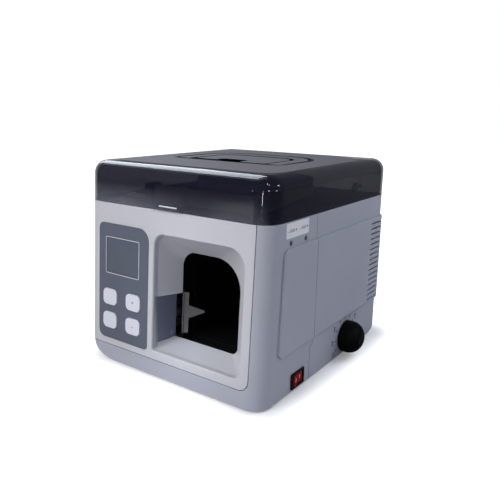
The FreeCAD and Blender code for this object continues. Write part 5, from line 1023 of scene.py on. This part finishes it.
white = Finish("floor_white", (0.78, 0.78, 0.80, 1.0), 0.9)
glossy = white.node("ShaderNodeLightPath").outputs["Is Glossy Ray"]
white.link(white.blend(glossy, white.colour, shade(white.colour, GLOSSY_FLOOR)), "Base Color")
away = white.past_rounded(white.place, (*FOOTPRINT_HALF, ANY_HEIGHT), FOOTPRINT_ROUND)
glow = white.spread(away, SHADOW_GLOW, 1.0, GLOW_FROM, GLOW_TO, interpolation_type="SMOOTHSTEP")
floor_glow = white.product(glow, shown_level(white))
print("floor glows in full", GLOW_TO, "m past the footprint")

# %% [markdown]
# ## Sheen on the floor
# The smooth front of the lid mirrors the floor far in front of it. A lit patch there, seen in gloss alone, stands
# for a bright part of the room. It is a sector: a soft angle about one direction, up to a soft distance.

# %% Sheen
SHEEN, SHEEN_FROM, SHEEN_ANGLE = 1.1, Vector((0.0, -0.14, 0.0)), math.radians(-121)
SHEEN_OPENING, SHEEN_REACH = [math.cos(math.radians(a)) for a in (7, 3)], (3.9, 4.4)
reach = white.vectors("SUBTRACT", white.place, SHEEN_FROM)
aim = (math.cos(SHEEN_ANGLE), math.sin(SHEEN_ANGLE), 0.0)
turned_away = white.vectors("DOT_PRODUCT", white.vectors("NORMALIZE", reach), aim)
in_angle = white.spread(turned_away, 0.0, SHEEN, *SHEEN_OPENING)
near = white.spread(white.vectors("LENGTH", reach), 1.0, 0.0, *SHEEN_REACH)
sheen = white.product(in_angle, near, glossy)
white.shader.inputs["Emission Color"].default_value = (1, 1, 1, 1)
white.link(white.maths("ADD", floor_glow, sheen), "Emission Strength")
floor_mesh.materials.append(white.material)
print("sheen ends", SHEEN_REACH[1], "m away")

# %% [markdown]
# ## World
# The world gives the object a weak, even fill with a hint of blue, as a white room does in daylight. To the eye it
# is plain white.

# %% World
FILL, FILL_TONE = 0.22, (0.90, 0.92, 1.04, 1.0)
world = bpy.data.worlds.new("studio")
bpy.context.scene.world = world
world.use_nodes = True
sky = Graph(world.node_tree)
background = sky.tree.nodes["Background"].inputs
sky.tree.links.new(sky.blend(looks(sky)[0], FILL_TONE, (1, 1, 1, 1)), background["Color"])
sky.tree.links.new(sky.maths("MAXIMUM", shown_level(sky), FILL), background["Strength"])
print("fill light", FILL)

# %% [markdown]
# ## Lamps
# Three soft boxes light the machine: the key from the front left sets the front, one low behind on the right
# grazes the side and throws the knob's shadow forward, and one high behind lights the matt lid. They don't show in
# gloss. A fourth, behind on the left, shows in gloss alone: it is the bright line on the lid's rolled front edge.


# %% Lamps
def lamp(name, kind, spot, power, use, aim=None, **settings):
    """A lamp that is never seen itself. Its use is to light, or to show in gloss."""
    data = bpy.data.lights.new(name, kind)
    data.energy = power
    for key, value in settings.items():
        setattr(data, key, value)
    made = put(name, data)
    made.location = spot
    if aim is not None:
        made.rotation_euler = (Vector(aim) - Vector(spot)).to_track_quat("-Z", "Y").to_euler()
    made.visible_camera, made.visible_glossy, made.visible_diffuse = False, use == "gloss", use == "light"


MACHINE_HEART = (0, 0, 0.12)
NEUTRAL, COOL = (1.0, 1.0, 1.0), (0.84, 0.93, 1.0)
SOFT_BOXES = (
    ("key_light", (-0.5, -1.9, 1.35), (1.3, 1.1), 33.5, NEUTRAL, "light"),
    ("side_light", (1.2, 1.9, 0.35), (0.5, 0.4), 6.0, NEUTRAL, "light"),
    ("rear_light", (0.9, 1.0, 1.5), (1.0, 0.9), 13.0, COOL, "light"),
    ("edge_light", (-1.27, 0.65, 1.55), (1.3, 1.5), 42.0, COOL, "gloss"),
)
for name, spot, (wide, high), power, colour, use in SOFT_BOXES:
    lamp(name, "AREA", spot, power, use, MACHINE_HEART, shape="RECTANGLE", size=wide, size_y=high, color=colour)
print("soft boxes:", len(SOFT_BOXES))

# %% [markdown]
# ## Accent in the mouth
# A narrow spot from above brightens the floor of the work bin, which the key leaves dull. Its edge is soft from
# the middle on, so that no ring shows.

# %% Accent in the mouth
ACCENT_SPOT, MOUTH_FLOOR, ACCENT_POWER, ACCENT_ANGLE = (0.12, -1.0, 1.3), at(22, 25, 42), 48.0, math.radians(6.4)
lamp("mouth_accent", "SPOT", ACCENT_SPOT, ACCENT_POWER, "light", MOUTH_FLOOR, color=COOL, spot_size=ACCENT_ANGLE,
     spot_blend=1.0, shadow_soft_size=0.06)
print("accent at", round((MOUTH_FLOOR - Vector(ACCENT_SPOT)).length, 3), "m")

# %% [markdown]
# ## Sparkle on the lid's corner
# The lamps of the room are seen only as bright dots on the tight curves of the lid's corner. Each is a ball lamp
# that lights nothing and shows in gloss alone, given by its direction from the corner in degrees round and up, and
# its size in millimetres. A lamp's power grows with its skin, so all of them look equally bright.

# %% Ceiling spots
LID_CORNER, SPOT_REACH, SPOT_BRIGHT = Vector((0.125, -0.135, 0.24)), 1.3, 22.0
CEILING_SPOTS = ((-125, 5, 7), (-126, 18, 16), (-115, 28, 30), (-47, 50, 90), (23, 30, 90), (-43, 3, 60), (-1, 3, 60),
                 (-75, -1, 50))
for k, (azimuth, elevation, size) in enumerate(CEILING_SPOTS):
    turn_to, rise = math.radians(azimuth), math.radians(elevation)
    way = Vector((math.cos(rise) * math.cos(turn_to), math.cos(rise) * math.sin(turn_to), math.sin(rise)))
    lamp("ceiling_spot_%d" % k, "POINT", LID_CORNER + SPOT_REACH * way,
         SPOT_BRIGHT * (size * MM) ** 2 * 4 * math.pi ** 2, "gloss", shadow_soft_size=size * MM)
print("ceiling spots:", len(CEILING_SPOTS))

# %% Finish
bpy.context.scene.view_settings.view_transform = "Standard"
